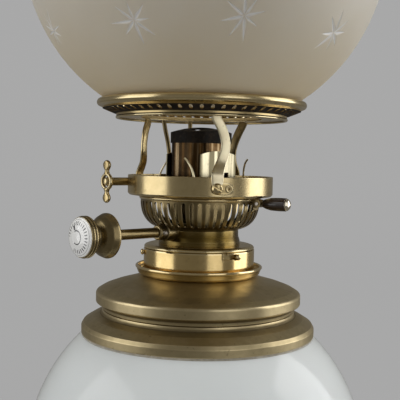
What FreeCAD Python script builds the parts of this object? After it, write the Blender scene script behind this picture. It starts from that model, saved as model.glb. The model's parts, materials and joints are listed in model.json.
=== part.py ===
import FreeCAD
import Part
import math
import os

# Duplex oil lamp: brass foot, opal glass body, drop-in reservoir, twin-wick burner and globe shade.
#
# Millimetres, +Z up, origin on the table at the middle of the foot. Azimuths are measured from the
# front (-Y) towards +X. The flame parts, wicks and winders are built in a local frame whose +X runs
# outwards along the winder shafts and are then turned to WINDER_AZIMUTH.

V = FreeCAD.Vector

# ---------------------------------------------------------------- driving dimensions
FELT_THICKNESS = 1.6
FOOT_RADIUS = 78.0
FLANGE_RADIUS = 63.8          # rim of the foot top and of the body rim
FOOT_TOP = 46.1
GASKET = 1.1

BODY_RADIUS = 93.0            # opal glass globe
BODY_CENTRE = 115.3
BODY_WALL = 4.0
RIM_BOTTOM = 184.3            # underside of the brass rim on the glass
RIM_TOP = 197.0
RIM_BORE = 50.1

COVER_RADIUS = 56.1
TANK_RADIUS = 46.4
TANK_WALL = 1.2
TANK_BOTTOM = 116.0
MOUTH_RADIUS = 29.0
COLLAR_RADIUS = 30.4
COLLAR_TOP = 230.2

SKIRT_RADIUS = 28.9           # burner skirt inside the collar
FLANGE_BOTTOM = 230.4
FLANGE_TOP = 232.6
NECK_RADIUS = 22.3
NECK_TOP = 241.1
BASKET_RADIUS = 32.6
BASKET_TOP = 258.6
SLOT_COUNT = 48
SLOT_WIDTH = 2.1

BAND_RADIUS = 39.7
BAND_WALL = 1.2
BAND_BOTTOM = 259.2
BAND_TOP = 270.0
SEAT_OUTER = 33.4               # raised seat for the foot of the chimney
SEAT_TOP = 261.0

ARM_AZIMUTHS = (12.0, 150.0, 240.0)
ARM_LEANS = (0.0, -8.2, 0.0)     # how far each arm leans sideways by the time it meets the ring
ARM_PLATE = 1.3                 # thickness of the oval plate at the foot of an arm
SCREW_HEIGHT = 264.2
RIVET_OFFSET = 8.6               # degrees round the band from the screw
ARM_THICKNESS = 1.5
STAY_AZIMUTHS = (191.0, 219.0)
SPRING_AZIMUTHS = (356.0, 137.0, 223.0)

RING_BOTTOM = 300.2
RING_FLANGE = 301.2           # underside of the inner flange
RING_INNER = 45.3
CHIMNEY_HOLE = 33.2
SKIRT_SLOTS = 60

SHADE_RADIUS = 97.0
SHADE_CENTRE = 392.0
SHADE_WALL = 2.6
FITTER_RADIUS = 50.3
FITTER_BOTTOM = 306.4
SHADE_MOUTH = 46.0

WINDER_AZIMUTH = -47.0
WINDER_HEIGHT = 240.2
WINDER_OFFSET = 1.5           # the main shaft lies this far towards the front wick
SPINDLE_DROP = 7.0            # the second spindle lies lower and on the other side
WICK_SPACING = 7.0            # each wick from the middle plane
WICK_WIDTH = 22.0
WICK_THICKNESS = 2.4
TUBE_TOP = 286.0
SPUR_RADIUS = 4.15
SPUR_POINTS = 10
GEAR_TEETH = 12
SHAFT_RADIUS = 1.5              # solid shaft of the front winder
TUBE_RADIUS = 2.65              # hollow shaft of the rear winder
SPINDLE_RADIUS = 1.3
REAR_KNOB_START = 61.4          # distances along the winders' axis
FRONT_KNOB_START = 72.4
BUTTON_START = 78.2
RUNNING = 0.06                # radial clearance of a running fit

LEVER_AZIMUTH = 60.0
LEVER_PIVOT = 36.0
LEVER_HEIGHT = 256.2

KEY_HEIGHT = 266.0
KEY_RADIUS = 2.2
FLOOR_TOP = 260.5               # gallery floor inside the band
SLEEVE_X = 14.6                 # half sizes of the flame sleeve
SLEEVE_Y = 12.4
SLEEVE_CORNER = 7.5
BAYONET_AZIMUTHS = (41.0, 161.0, 281.0)
BAYONET_TURN = 14.0
STUD_HEIGHT = 228.1


# ---------------------------------------------------------------- building blocks
def ring(inner, outer, low, high):
    """A plain ring or, with inner 0, a disc."""
    body = Part.makeCylinder(outer, high - low, V(0, 0, low))
    if inner > 0:
        body = body.cut(Part.makeCylinder(inner, high - low, V(0, 0, low)))
    return body


def box(x0, x1, y0, y1, z0, z1):
    return Part.makeBox(x1 - x0, y1 - y0, z1 - z0, V(x0, y0, z0))


def wire_of(points):
    """A closed XZ outline. An entry (r, z) is a corner; ("arc", (r, z), (r, z)) bends through one
    point to the next."""
    edges = []
    at = points[0]
    for step in points[1:] + [points[0]]:
        if step[0] == "arc":
            via, end = step[1], step[2]
            edges.append(Part.Arc(V(at[0], 0, at[1]), V(via[0], 0, via[1]), V(end[0], 0, end[1])).toShape())
            at = end
        elif math.dist(at, step) > 1e-6:
            edges.append(Part.LineSegment(V(at[0], 0, at[1]), V(step[0], 0, step[1])).toShape())
            at = step
    return Part.Wire(edges)


def lathe(points):
    """Turns a closed outline of (radius, height) round the lamp's axis."""
    return Part.Face(wire_of(points)).revolve(V(0, 0, 0), V(0, 0, 1), 360)


def lathe_x(points, y=0.0, z=0.0):
    """Turns a closed outline of (distance along X, radius) round a shaft parallel to X."""
    outline = Part.Face(wire_of(points))
    turned = outline.revolve(V(0, 0, 0), V(1, 0, 0), 360)
    turned.translate(V(0, y, z))
    return turned


def rod_x(radius, x0, x1, y=0.0, z=0.0):
    return Part.makeCylinder(radius, x1 - x0, V(x0, y, z), V(1, 0, 0))


def at_azimuth(shape, azimuth):
    """Turns a shape built along +X so that it points to an azimuth."""
    return shape.rotated(V(0, 0, 0), V(0, 0, 1), azimuth - 90.0)


def repeat(shape, azimuths):
    return Part.makeCompound([at_azimuth(shape, a) for a in azimuths])


def plate_outline(half_x, half_y, corner):
    """A rounded rectangle about the axis, as a wire in the plane z = 0."""
    x, y, c = half_x, half_y, corner
    k = c * (1 - math.sqrt(0.5))
    pts = [(-x + c, -y), (x - c, -y), (x - k, -y + k), (x, -y + c), (x, y - c), (x - k, y - k),
           (x - c, y), (-x + c, y), (-x + k, y - k), (-x, y - c), (-x, -y + c), (-x + k, -y + k)]
    p = [V(a, b, 0) for a, b in pts]
    edges = []
    for i in range(0, 12, 3):
        edges.append(Part.LineSegment(p[i], p[i + 1]).toShape())
        edges.append(Part.Arc(p[i + 1], p[i + 2], p[(i + 3) % 12]).toShape())
    return Part.Wire(edges)


def prism(half_x, half_y, corner, low, high, y=0.0):
    """A rounded rectangle carried from low to high."""
    solid = Part.Face(plate_outline(half_x, half_y, corner)).extrude(V(0, 0, high - low))
    solid.translate(V(0, y, low))
    return solid


def flat_tube(half_x, half_y, corner, wall, low, high, y=0.0):
    outer = prism(half_x, half_y, corner, low, high, y)
    return outer.cut(prism(half_x - wall, half_y - wall, corner - wall, low, high, y))


def loft_strip(stations):
    """A bent strip standing at azimuth 90 (along +X). Each station is (radius, sideways, height,
    width, thickness, lean), with lean the tilt of the section from level, in degrees."""
    wires = []
    for radius, side, height, width, thickness, lean in stations:
        c, s = math.cos(math.radians(lean)), math.sin(math.radians(lean))
        corners = []
        for a, b in ((-1, -1), (1, -1), (1, 1), (-1, 1)):
            across = b * thickness / 2
            corners.append(V(radius + across * c, side + a * width / 2, height + across * s))
        wires.append(Part.makePolygon(corners + corners[:1]))
    return Part.makeLoft(wires, True, False)


def loft_wire(radius_of_wire, stations, sides=10):
    """A bent wire standing at azimuth 90, through (radius, sideways, height) stations."""
    wires = []
    for radius, side, height in stations:
        corners = []
        for k in range(sides):
            a = 2 * math.pi * k / sides
            out, along = radius_of_wire * math.cos(a), radius_of_wire * math.sin(a)
            corners.append(V(radius + out, side + along, height))
        wires.append(Part.makePolygon(corners + corners[:1]))
    return Part.makeLoft(wires, True, False)


def radius_at(radius, centre, height):
    return math.sqrt(radius ** 2 - (height - centre) ** 2)


def height_at(radius, centre, r, up):
    return centre + up * math.sqrt(radius ** 2 - r ** 2)


# ---------------------------------------------------------------- foot and glass body
def foot_felt():
    return ring(0, FOOT_RADIUS - 3.0, 0.0, FELT_THICKNESS)


def foot():
    """Cast foot: stepped base, waist and a top flange that carries the glass."""
    base = FELT_THICKNESS
    return lathe([
        (FOOT_RADIUS, base), (FOOT_RADIUS, 5.6), (FOOT_RADIUS - 1.2, 7.0), (66.0, 10.2),
        ("arc", (55.0, 15.0), (49.5, 25.5)), ("arc", (50.2, 32.5), (55.0, 37.4)),
        (FLANGE_RADIUS - 1.0, 40.6), (FLANGE_RADIUS, 41.9), (FLANGE_RADIUS, FOOT_TOP),
        (52.4, FOOT_TOP), (52.4, 54.0), (50.6, 54.0), (50.6, 42.0),
        ("arc", (46.6, 32.0), (46.2, 25.0)), ("arc", (52.0, 12.6), (64.0, 7.0)), (73.5, 5.2),
        (73.5, base)])


def foot_weight():
    """Iron ring that steadies the foot."""
    return ring(16.0, 60.0, FELT_THICKNESS, 7.4)


def foot_gasket():
    return ring(57.0, FLANGE_RADIUS - 0.8, FOOT_TOP, FOOT_TOP + GASKET)


def opal_body():
    low, high = FOOT_TOP + GASKET, RIM_BOTTOM - GASKET
    inner = BODY_RADIUS - BODY_WALL
    return lathe([
        (radius_at(inner, BODY_CENTRE, low), low), (radius_at(BODY_RADIUS, BODY_CENTRE, low), low),
        ("arc", (BODY_RADIUS, BODY_CENTRE), (radius_at(BODY_RADIUS, BODY_CENTRE, high), high)),
        (radius_at(inner, BODY_CENTRE, high), high),
        ("arc", (inner, BODY_CENTRE), (radius_at(inner, BODY_CENTRE, low), low))])


def rim_gasket():
    return ring(57.0, FLANGE_RADIUS - 0.8, RIM_BOTTOM - GASKET, RIM_BOTTOM)


def body_rim():
    """Turned brass rim cemented to the glass: lower step of the cover, with a bore for the tank."""
    r = FLANGE_RADIUS
    return lathe([
        (r, RIM_BOTTOM), (r, 188.3), (r - 0.9, 190.0), (57.7, 193.3),
        ("arc", (54.2, 194.7), (52.6, RIM_TOP)),
        (RIM_BORE, RIM_TOP), (RIM_BORE, 177.0), (51.5, 177.0), (51.5, RIM_BOTTOM)])


# ---------------------------------------------------------------- reservoir, cover and collar
def reservoir_tank():
    """Drop-in oil tank: straight wall, dished bottom, sloping top and a mouth for the burner."""
    r, t = TANK_RADIUS, TANK_WALL
    b = TANK_BOTTOM
    return lathe([
        (0, b), (38.0, b), ("arc", (44.6, b + 2.6), (r, b + 9.0)), (r, 197.6), (MOUTH_RADIUS, 210.6),
        (MOUTH_RADIUS, 215.8), (MOUTH_RADIUS - t, 215.8), (MOUTH_RADIUS - t, 209.8), (r - t, 196.8),
        (r - t, b + 9.4), ("arc", (43.4, b + 3.6), (37.6, b + t)), (0, b + t)])


def reservoir_cover():
    """Upper step of the cover: a shallow cone with a heavy turned edge and a spigot below."""
    r = COVER_RADIUS
    spigot = RIM_BORE - 0.4
    return lathe([
        (MOUTH_RADIUS, 215.8), (31.2, 215.6), ("arc", (38.4, 213.0), (46.7, 210.7)), (52.2, 208.7),
        ("arc", (55.1, 207.2), (r, 205.2)), (r, 201.2), (r - 0.6, 200.6), (54.2, 200.4),
        ("arc", (52.9, 199.4), (52.6, RIM_TOP + 0.3)), (spigot, RIM_TOP + 0.3), (spigot, 189.0),
        (spigot - 1.4, 189.0), (spigot - 1.4, 199.0), (52.0, 203.0), (50.6, 207.4),
        (36.0, 212.0), (MOUTH_RADIUS, 213.8)])


def drip_dish():
    """Saucer with a rolled lip round the foot of the collar."""
    return lathe([
        (COLLAR_RADIUS, 215.75), (31.4, 215.75), ("arc", (33.5, 217.0), (34.0, 219.4)),
        ("arc", (34.85, 220.4), (34.0, 221.2)), ("arc", (33.2, 220.9), (33.1, 219.6)),
        ("arc", (32.7, 217.6), (31.0, 216.75)), (COLLAR_RADIUS, 216.75)])


def bayonet_slot():
    """Entry and locking run of one slot, as a tool that removes them from the collar."""
    low, high = 226.9, 229.35
    turn = BAYONET_TURN
    run = ring(COLLAR_RADIUS - 3, COLLAR_RADIUS + 1, low, high)
    half = 2.3
    keep = Part.makeCylinder(COLLAR_RADIUS + 2, high - low, V(0, 0, low), V(0, 0, 1), turn + 2 * half)
    keep = keep.rotated(V(0, 0, 0), V(0, 0, 1), -turn - half)
    entry = box(COLLAR_RADIUS - 3, COLLAR_RADIUS + 1, -1.3, 1.3, low, COLLAR_TOP + 1)
    entry = entry.rotated(V(0, 0, 0), V(0, 0, 1), -turn)
    return run.common(keep).fuse(entry)


def burner_collar():
    """Collar on the tank's mouth with three bayonet slots."""
    tube = ring(MOUTH_RADIUS + 0.1, COLLAR_RADIUS, 212.0, COLLAR_TOP)
    tube = tube.cut(ring(0, MOUTH_RADIUS + 0.6, 210.0, 212.2))
    for azimuth in BAYONET_AZIMUTHS:
        tube = tube.cut(at_azimuth(bayonet_slot(), azimuth))
    return tube.common(ring(MOUTH_RADIUS + 0.1, COLLAR_RADIUS, 215.8, COLLAR_TOP))


# ---------------------------------------------------------------- burner shell
def burner_base():
    """Flange that rests over the collar, with the skirt that goes inside it."""
    base = lathe([
        (20.6, FLANGE_BOTTOM), (SKIRT_RADIUS - 1.0, FLANGE_BOTTOM), (SKIRT_RADIUS - 1.0, 219.0),
        (SKIRT_RADIUS, 219.0), (SKIRT_RADIUS, FLANGE_BOTTOM), (29.9, FLANGE_BOTTOM),
        ("arc", (30.35, 231.2), (29.6, 232.1)), (28.2, FLANGE_TOP), (20.6, FLANGE_TOP)])
    return base.cut(repeat(rod_x(1.1, 20, 40, 0, STUD_HEIGHT), BAYONET_AZIMUTHS))


def bayonet_studs():
    stud = rod_x(1.1, SKIRT_RADIUS - 1.8, 31.2, 0, STUD_HEIGHT)
    profile = [(30.8, 0), (30.8, 1.6), (31.4, 1.6), ("arc", (32.2, 1.2), (32.5, 0.3)), (32.5, 0)]
    head = lathe_x(profile, 0, STUD_HEIGHT)
    return repeat(stud.fuse(head), BAYONET_AZIMUTHS)


def tube_plate():
    """Plate inside the skirt that holds the wick tubes over the oil."""
    plate = ring(0, SKIRT_RADIUS - 1.0, 221.0, 222.2)
    for side in (-1, 1):
        plate = plate.cut(prism(WICK_WIDTH / 2 + 1.0, 2.2, 1.9, 220, 223, side * WICK_SPACING))
    return at_azimuth(plate, WINDER_AZIMUTH)


def gland_hole():
    return at_azimuth(rod_x(4.6, 16, 30, WINDER_OFFSET, WINDER_HEIGHT), WINDER_AZIMUTH)


def burner_neck():
    neck = lathe([
        (20.6, FLANGE_TOP), (NECK_RADIUS, FLANGE_TOP), (NECK_RADIUS, 235.1), (21.4, NECK_TOP),
        (20.3, NECK_TOP), (20.6, 235.8)])
    return neck.cut(gland_hole())


def air_basket():
    """Pierced bowl that lets the air in, with a beaded rim."""
    r = BASKET_RADIUS
    bowl = lathe([
        (20.3, NECK_TOP), (22.0, NECK_TOP), ("arc", (30.0, 244.6), (r, 251.4)), (r, 256.8),
        ("arc", (r + 0.8, 257.7), (r, BASKET_TOP)), (r - 1.1, BASKET_TOP), (r - 0.9, 251.4),
        ("arc", (29.2, 245.3), (21.8, 242.0)), (20.3, 242.0)])
    slot = box(22, 40, -SLOT_WIDTH / 2, SLOT_WIDTH / 2, 242.6, 256.2)
    step = 360.0 / SLOT_COUNT
    bowl = bowl.cut(Part.makeCompound([at_azimuth(slot, step * k) for k in range(SLOT_COUNT)]))
    notch = at_azimuth(box(28, 40, -2.6, 2.6, 251.0, 260.0), LEVER_AZIMUTH)
    return bowl.cut(notch).cut(gland_hole())


def air_diffuser():
    """Perforated plate across the top of the basket; it carries the flame sleeve."""
    plate = ring(0, BASKET_RADIUS - 1.1, 257.4, 258.3)
    plate = plate.cut(at_azimuth(box(-13.9, 13.9, -11.4, 11.4, 250, 260), WINDER_AZIMUTH))
    hole = Part.makeCylinder(1.1, 6, V(0, 0, 255))
    for radius, count in ((21.6, 24), (25.0, 28), (28.4, 32)):
        holes = [hole.translated(V(radius, 0, 0)).rotated(V(0, 0, 0), V(0, 0, 1), 360.0 * k / count)
                 for k in range(count)]
        plate = plate.cut(Part.makeCompound(holes))
    return plate.cut(at_azimuth(box(12, 40, -2.6, 2.6, 250, 260), LEVER_AZIMUTH))


# ---------------------------------------------------------------- wicks, tubes and flame parts
def spur_windows(side):
    """Openings in the inner wall of a wick tube for its two spur wheels."""
    height = WINDER_HEIGHT if side > 0 else WINDER_HEIGHT - SPINDLE_DROP
    cuts = [box(x - 1.5, x + 1.5, -6.2, 6.2, height - 5, height + 5) for x in spur_places(side)]
    return Part.makeCompound(cuts)


def spur_places(side):
    return (-8.6, 8.6) if side > 0 else (-4.4, 4.4)


def wick_tube(side):
    tube = flat_tube(WICK_WIDTH / 2 + 1.0, 2.2, 1.9, 0.6, 206.0, TUBE_TOP, side * WICK_SPACING)
    return at_azimuth(tube.cut(spur_windows(side)), WINDER_AZIMUTH)


def wick(side):
    strip = prism(WICK_WIDTH / 2, WICK_THICKNESS / 2, 1.1, 128.0, TUBE_TOP + 0.8, side * WICK_SPACING)
    return at_azimuth(strip, WINDER_AZIMUTH)


def sleeve_notch():
    """Clears the snuffer's lug, which comes out sideways through the flame sleeve."""
    return at_azimuth(box(9, 24, -3.2, 3.2, 257.0, 272.0), LEVER_AZIMUTH)


def flame_sleeve():
    """Polished draught sleeve round both wick tubes."""
    sleeve = at_azimuth(flat_tube(SLEEVE_X, SLEEVE_Y, SLEEVE_CORNER, 0.7, 258.3, 288.6), WINDER_AZIMUTH)
    return sleeve.cut(sleeve_notch())


def flame_cap():
    """Blackened crown with one long slot over each wick."""
    top, bend = 296.3, 50.0
    wall = 0.7
    outer = prism(SLEEVE_X + wall, SLEEVE_Y + wall, SLEEVE_CORNER + wall, 287.6, 297.0)
    outer = outer.common(Part.makeSphere(bend, V(0, 0, top - bend)))
    inner = prism(SLEEVE_X, SLEEVE_Y, SLEEVE_CORNER, 287.0, 297.0)
    inner = inner.common(Part.makeSphere(bend - 0.8, V(0, 0, top - bend)))
    cap = outer.cut(inner)
    for side in (-1, 1):
        cap = cap.cut(prism(12.4, 2.6, 2.4, 285.0, 299.0, side * WICK_SPACING))
    return at_azimuth(cap, WINDER_AZIMUTH)


def draught_shields():
    """Two polished shields with arched tops outside the flat faces of the sleeve."""
    arch = Part.makeCylinder(44.0, 60, V(0, -30, 283.4 - 44.0), V(0, 1, 0))
    pair = []
    for side in (-1, 1):
        low, high = sorted((side * 13.3, side * 14.0))
        plate = box(-13.0, 13.0, low, high, 258.3, 290.0).common(arch)
        near, far = sorted((side * SLEEVE_Y, side * 13.3))
        tabs = [box(x - 1.5, x + 1.5, near, far, 274, 276) for x in (-5.5, 5.5)]
        pair.append(plate.fuse(tabs))
    shields = at_azimuth(Part.makeCompound(pair), WINDER_AZIMUTH)
    return shields.cut(sleeve_notch())


def snuffer():
    """Two flat sleeves on the wick tubes, joined by a bridge and lifted by a lug."""
    sleeves = [flat_tube(12.9, 3.0, 2.4, 0.5, 262.0, 284.4, side * WICK_SPACING) for side in (-1, 1)]
    bridge = box(-3.0, 3.0, -4.1, 4.1, 262.0, 263.2)
    parts = at_azimuth(sleeves[0].fuse(sleeves[1]).fuse(bridge), WINDER_AZIMUTH)
    lug = at_azimuth(box(8.0, 25.0, -2.2, 2.2, 262.0, 263.2), LEVER_AZIMUTH)
    bore = at_azimuth(prism(12.4, 2.5, 1.9, 260, 290, WICK_SPACING), WINDER_AZIMUTH)
    return parts.fuse(lug.cut(bore))


# ---------------------------------------------------------------- wick winders
def spur_wheel(x, y, z):
    """Star wheel that bites on a wick."""
    pts = []
    for k in range(2 * SPUR_POINTS):
        r = SPUR_RADIUS if k % 2 == 0 else SPUR_RADIUS - 1.0
        a = math.pi * k / SPUR_POINTS
        pts.append(V(x - 0.8, y + r * math.cos(a), z + r * math.sin(a)))
    return Part.Face(Part.makePolygon(pts + pts[:1])).extrude(V(1.6, 0, 0))


def gear(x0, x1, y, z, phase):
    """Twelve-tooth pinion with its first tooth at the phase angle from +Y towards +Z."""
    pitch = math.hypot(2 * WINDER_OFFSET, SPINDLE_DROP) / 2
    pts = []
    for k in range(GEAR_TEETH):
        centre = math.radians(phase) + 2 * math.pi * k / GEAR_TEETH
        for radius, half in ((pitch - 0.75, 0.150), (pitch + 0.45, 0.055)):
            pts.append((radius, centre - half))
        for radius, half in ((pitch + 0.45, 0.055), (pitch - 0.75, 0.150)):
            pts.append((radius, centre + half))
    corners = [V(x0, y + r * math.cos(a), z + r * math.sin(a)) for r, a in pts]
    return Part.Face(Part.makePolygon(corners + corners[:1])).extrude(V(x1 - x0, 0, 0))


def spindle_line():
    """Angle from the spindle's axis up to the main shaft, measured from +Y towards +Z."""
    return math.degrees(math.atan2(SPINDLE_DROP, 2 * WINDER_OFFSET))


def front_winder_shaft():
    """Solid inner shaft, with the two spur wheels of the front wick."""
    y, z = WINDER_OFFSET, WINDER_HEIGHT
    return at_azimuth(rod_x(SHAFT_RADIUS, -17.0, FRONT_KNOB_START + 4.2, y, z), WINDER_AZIMUTH)


def front_spur_wheels():
    y, z = WINDER_OFFSET, WINDER_HEIGHT
    wheels = [spur_wheel(x, y, z).cut(rod_x(SHAFT_RADIUS, -20, 20, y, z)) for x in spur_places(1)]
    return at_azimuth(Part.makeCompound(wheels), WINDER_AZIMUTH)


def rear_winder_tube():
    """Hollow outer shaft that carries the inner knob and the driving pinion."""
    y, z = WINDER_OFFSET, WINDER_HEIGHT
    tube = rod_x(TUBE_RADIUS, 18.6, REAR_KNOB_START + 3.4, y, z)
    tube = tube.cut(rod_x(SHAFT_RADIUS + RUNNING, 10, 70, y, z))
    return at_azimuth(tube, WINDER_AZIMUTH)


def rear_driving_pinion():
    y, z = WINDER_OFFSET, WINDER_HEIGHT
    toothed = gear(15.4, 18.6, y, z, spindle_line() + 180).cut(rod_x(SHAFT_RADIUS + RUNNING, 10, 30, y, z))
    return at_azimuth(toothed, WINDER_AZIMUTH)


def rear_spindle():
    y, z = -WINDER_OFFSET, WINDER_HEIGHT - SPINDLE_DROP
    return at_azimuth(rod_x(SPINDLE_RADIUS, -17.0, 19.4, y, z), WINDER_AZIMUTH)


def rear_driven_pinion():
    y, z = -WINDER_OFFSET, WINDER_HEIGHT - SPINDLE_DROP
    phase = spindle_line() + 180.0 / GEAR_TEETH
    toothed = gear(15.4, 18.6, y, z, phase).cut(rod_x(SPINDLE_RADIUS, 10, 30, y, z))
    return at_azimuth(toothed, WINDER_AZIMUTH)


def rear_spur_wheels():
    y, z = -WINDER_OFFSET, WINDER_HEIGHT - SPINDLE_DROP
    wheels = [spur_wheel(x, y, z).cut(rod_x(SPINDLE_RADIUS, -20, 20, y, z)) for x in spur_places(-1)]
    return at_azimuth(Part.makeCompound(wheels), WINDER_AZIMUTH)


def spindle_brackets():
    """Two bearing plates for the shafts, standing on the tube plate."""
    plates = []
    for x0, x1 in ((12.9, 14.3), (-14.3, -12.9)):
        plate = box(x0, x1, -5.6, 5.6, 222.2, WINDER_HEIGHT + 4.2)
        plate = plate.cut(rod_x(SHAFT_RADIUS + RUNNING, -20, 20, WINDER_OFFSET, WINDER_HEIGHT))
        low = WINDER_HEIGHT - SPINDLE_DROP
        plate = plate.cut(rod_x(SPINDLE_RADIUS + RUNNING, -20, 20, -WINDER_OFFSET, low))
        plates.append(plate)
    return at_azimuth(Part.makeCompound(plates), WINDER_AZIMUTH)


def winder_gland():
    """Stuffing nut where the shafts leave the neck."""
    y, z = WINDER_OFFSET, WINDER_HEIGHT
    body = lathe_x([(19.8, TUBE_RADIUS + RUNNING), (19.8, 4.6), (26.8, 4.6), (27.4, 4.0), (31.4, 4.0),
                    (32.2, 3.4), (32.2, TUBE_RADIUS + RUNNING)], y, z)
    return at_azimuth(body, WINDER_AZIMUTH)


def gland_screw():
    """Small set screw in the side of the stuffing nut."""
    y, z = WINDER_OFFSET, WINDER_HEIGHT
    head = lathe([(0, 4.0), (1.5, 4.0), (1.5, 4.6), ("arc", (1.15, 5.4), (0.4, 5.8)), (0, 5.8)])
    head = head.rotated(V(0, 0, 0), V(1, 0, 0), -90).translated(V(29.5, y, z))
    return at_azimuth(head.cut(rod_x(4.0, 25, 34, y, z)), WINDER_AZIMUTH)


def front_knob():
    """Outer knob with a recess for the enamel button and two fine beads on its rim."""
    y, z = WINDER_OFFSET, WINDER_HEIGHT
    valley, crest = 9.95, 10.45
    x = FRONT_KNOB_START
    profile = [
        (x, SHAFT_RADIUS), (x, 6.6), ("arc", (x + 1.6, 7.3), (x + 2.8, 9.2)), (x + 3.1, valley),
        ("arc", (x + 3.9, crest), (x + 4.7, valley)), ("arc", (x + 5.5, crest), (x + 6.3, valley)),
        (x + 7.0, 9.9), (x + 7.0, 9.6), (BUTTON_START, 9.6), (BUTTON_START, 0), (x + 4.2, 0),
        (x + 4.2, SHAFT_RADIUS)]
    return at_azimuth(lathe_x(profile, y, z), WINDER_AZIMUTH)


def enamel_button():
    y, z = WINDER_OFFSET, WINDER_HEIGHT
    x = BUTTON_START
    profile = [(x, 0), (x, 9.55), (x + 1.5, 9.55), ("arc", (x + 2.9, 6.2), (x + 3.6, 0.8)), (x + 3.6, 0)]
    return at_azimuth(lathe_x(profile, y, z), WINDER_AZIMUTH)


def rear_knob():
    """Inner knob: a rounded dished wheel on the hollow shaft."""
    y, z = WINDER_OFFSET, WINDER_HEIGHT
    x = REAR_KNOB_START
    bore, inner = TUBE_RADIUS, SHAFT_RADIUS + RUNNING
    profile = [
        (x, bore), (x, 4.2), (x + 1.0, 10.2), ("arc", (x + 1.8, 11.1), (x + 2.8, 11.3)),
        ("arc", (x + 7.4, 9.3), (x + 9.4, 5.6)), (x + 10.6, 5.2), (x + 10.6, inner), (x + 3.4, inner),
        (x + 3.4, bore)]
    return at_azimuth(lathe_x(profile, y, z), WINDER_AZIMUTH)


def across(radius, half_length, distance, height):
    """A cross shaft of the lever, parallel to Y."""
    return Part.makeCylinder(radius, 2 * half_length, V(distance, -half_length, height), V(0, 1, 0))


def snuffer_lever():
    """Flat lever: finger under the snuffer's lug, pivot outside the basket, tang for the grip."""
    z = LEVER_HEIGHT
    arm = box(19.0, 38.7, -1.6, 1.6, z - 0.8, z + 0.8)
    finger = box(19.0, 20.8, -1.6, 1.6, z - 0.8, 261.6)
    eye = across(1.9, 1.6, LEVER_PIVOT, z)
    tang = rod_x(1.1, 38.0, 52.2, 0, z)
    lever = arm.fuse([finger, eye, tang])
    return at_azimuth(lever.cut(across(0.9 + RUNNING, 6, LEVER_PIVOT, z)), LEVER_AZIMUTH)


def lever_grip():
    """Turned blackwood grip."""
    profile = [(38.7, 1.1), (38.7, 2.0), ("arc", (41.0, 3.1), (44.0, 3.4)), (51.6, 3.5), (51.6, 1.1)]
    return at_azimuth(lathe_x(profile, 0, LEVER_HEIGHT), LEVER_AZIMUTH)


def grip_cap():
    """Metal end of the grip, peened over the tang."""
    profile = [(51.6, 1.1), (51.6, 3.2), (52.4, 3.0), ("arc", (53.4, 1.9), (53.9, 0.5)), (53.9, 0),
               (52.2, 0), (52.2, 1.1)]
    return at_azimuth(lathe_x(profile, 0, LEVER_HEIGHT), LEVER_AZIMUTH)


def lever_bracket():
    """Two ears on the basket's rim that hold the lever's pivot pin, joined by a saddle below."""
    z = LEVER_HEIGHT
    ears = box(BASKET_RADIUS - 1.0, LEVER_PIVOT, -2.9, 2.9, z - 2.1, z + 2.1)
    ears = ears.fuse(across(2.1, 2.9, LEVER_PIVOT, z)).cut(box(20, 50, -1.9, 1.9, z - 3, z + 3))
    saddle = box(BASKET_RADIUS - 1.0, BASKET_RADIUS + 1.6, -2.9, 2.9, z - 3.6, z - 2.1)
    bracket = ears.fuse(saddle).cut(across(0.9, 6, LEVER_PIVOT, z))
    return at_azimuth(bracket.cut(ring(0, BASKET_RADIUS + 0.85, 250, 262)), LEVER_AZIMUTH)


def lever_pin():
    return at_azimuth(across(0.9, 3.4, LEVER_PIVOT, LEVER_HEIGHT), LEVER_AZIMUTH)


# ---------------------------------------------------------------- gallery
def along_key(shape):
    """Carries a shape built along +X from the origin onto the key's axis."""
    return at_azimuth(shape, WINDER_AZIMUTH).translated(V(-BAND_RADIUS + 0.4, 0, KEY_HEIGHT))


def gallery_band():
    """Deep brass cup that seats the chimney, on a floor that rests on the basket's rim."""
    r, t = BAND_RADIUS, BAND_WALL
    cup = lathe([
        (31.0, BASKET_TOP), (34.0, BASKET_TOP), (r - 0.8, BAND_BOTTOM), (r, BAND_BOTTOM + 0.8),
        (r, BAND_TOP - 0.3),
        (r - 0.3, BAND_TOP), (r - t, BAND_TOP), (r - t, FLOOR_TOP), (SEAT_OUTER, FLOOR_TOP),
        (SEAT_OUTER, SEAT_TOP), (31.0, SEAT_TOP)])
    cup = cup.cut(along_key(rod_x(KEY_RADIUS + RUNNING, -6, 6)))
    return cup.cut(at_azimuth(box(25, 36.6, -3.2, 3.2, 250, 262), LEVER_AZIMUTH))


def arm_plate():
    """Oval plate on the band that takes an arm's screw and rivet."""
    half = 2.6
    ends = [Part.makeCylinder(3.2, 20, V(30, y, SCREW_HEIGHT), V(1, 0, 0)) for y in (-half, half)]
    oval = box(30, 50, -half, half, SCREW_HEIGHT - 3.2, SCREW_HEIGHT + 3.2).fuse(ends)
    shell = ring(BAND_RADIUS, BAND_RADIUS + ARM_PLATE, SCREW_HEIGHT - 5, SCREW_HEIGHT + 5)
    return oval.common(shell).rotated(V(0, 0, 0), V(0, 0, 1), RIVET_OFFSET / 2)


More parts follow.
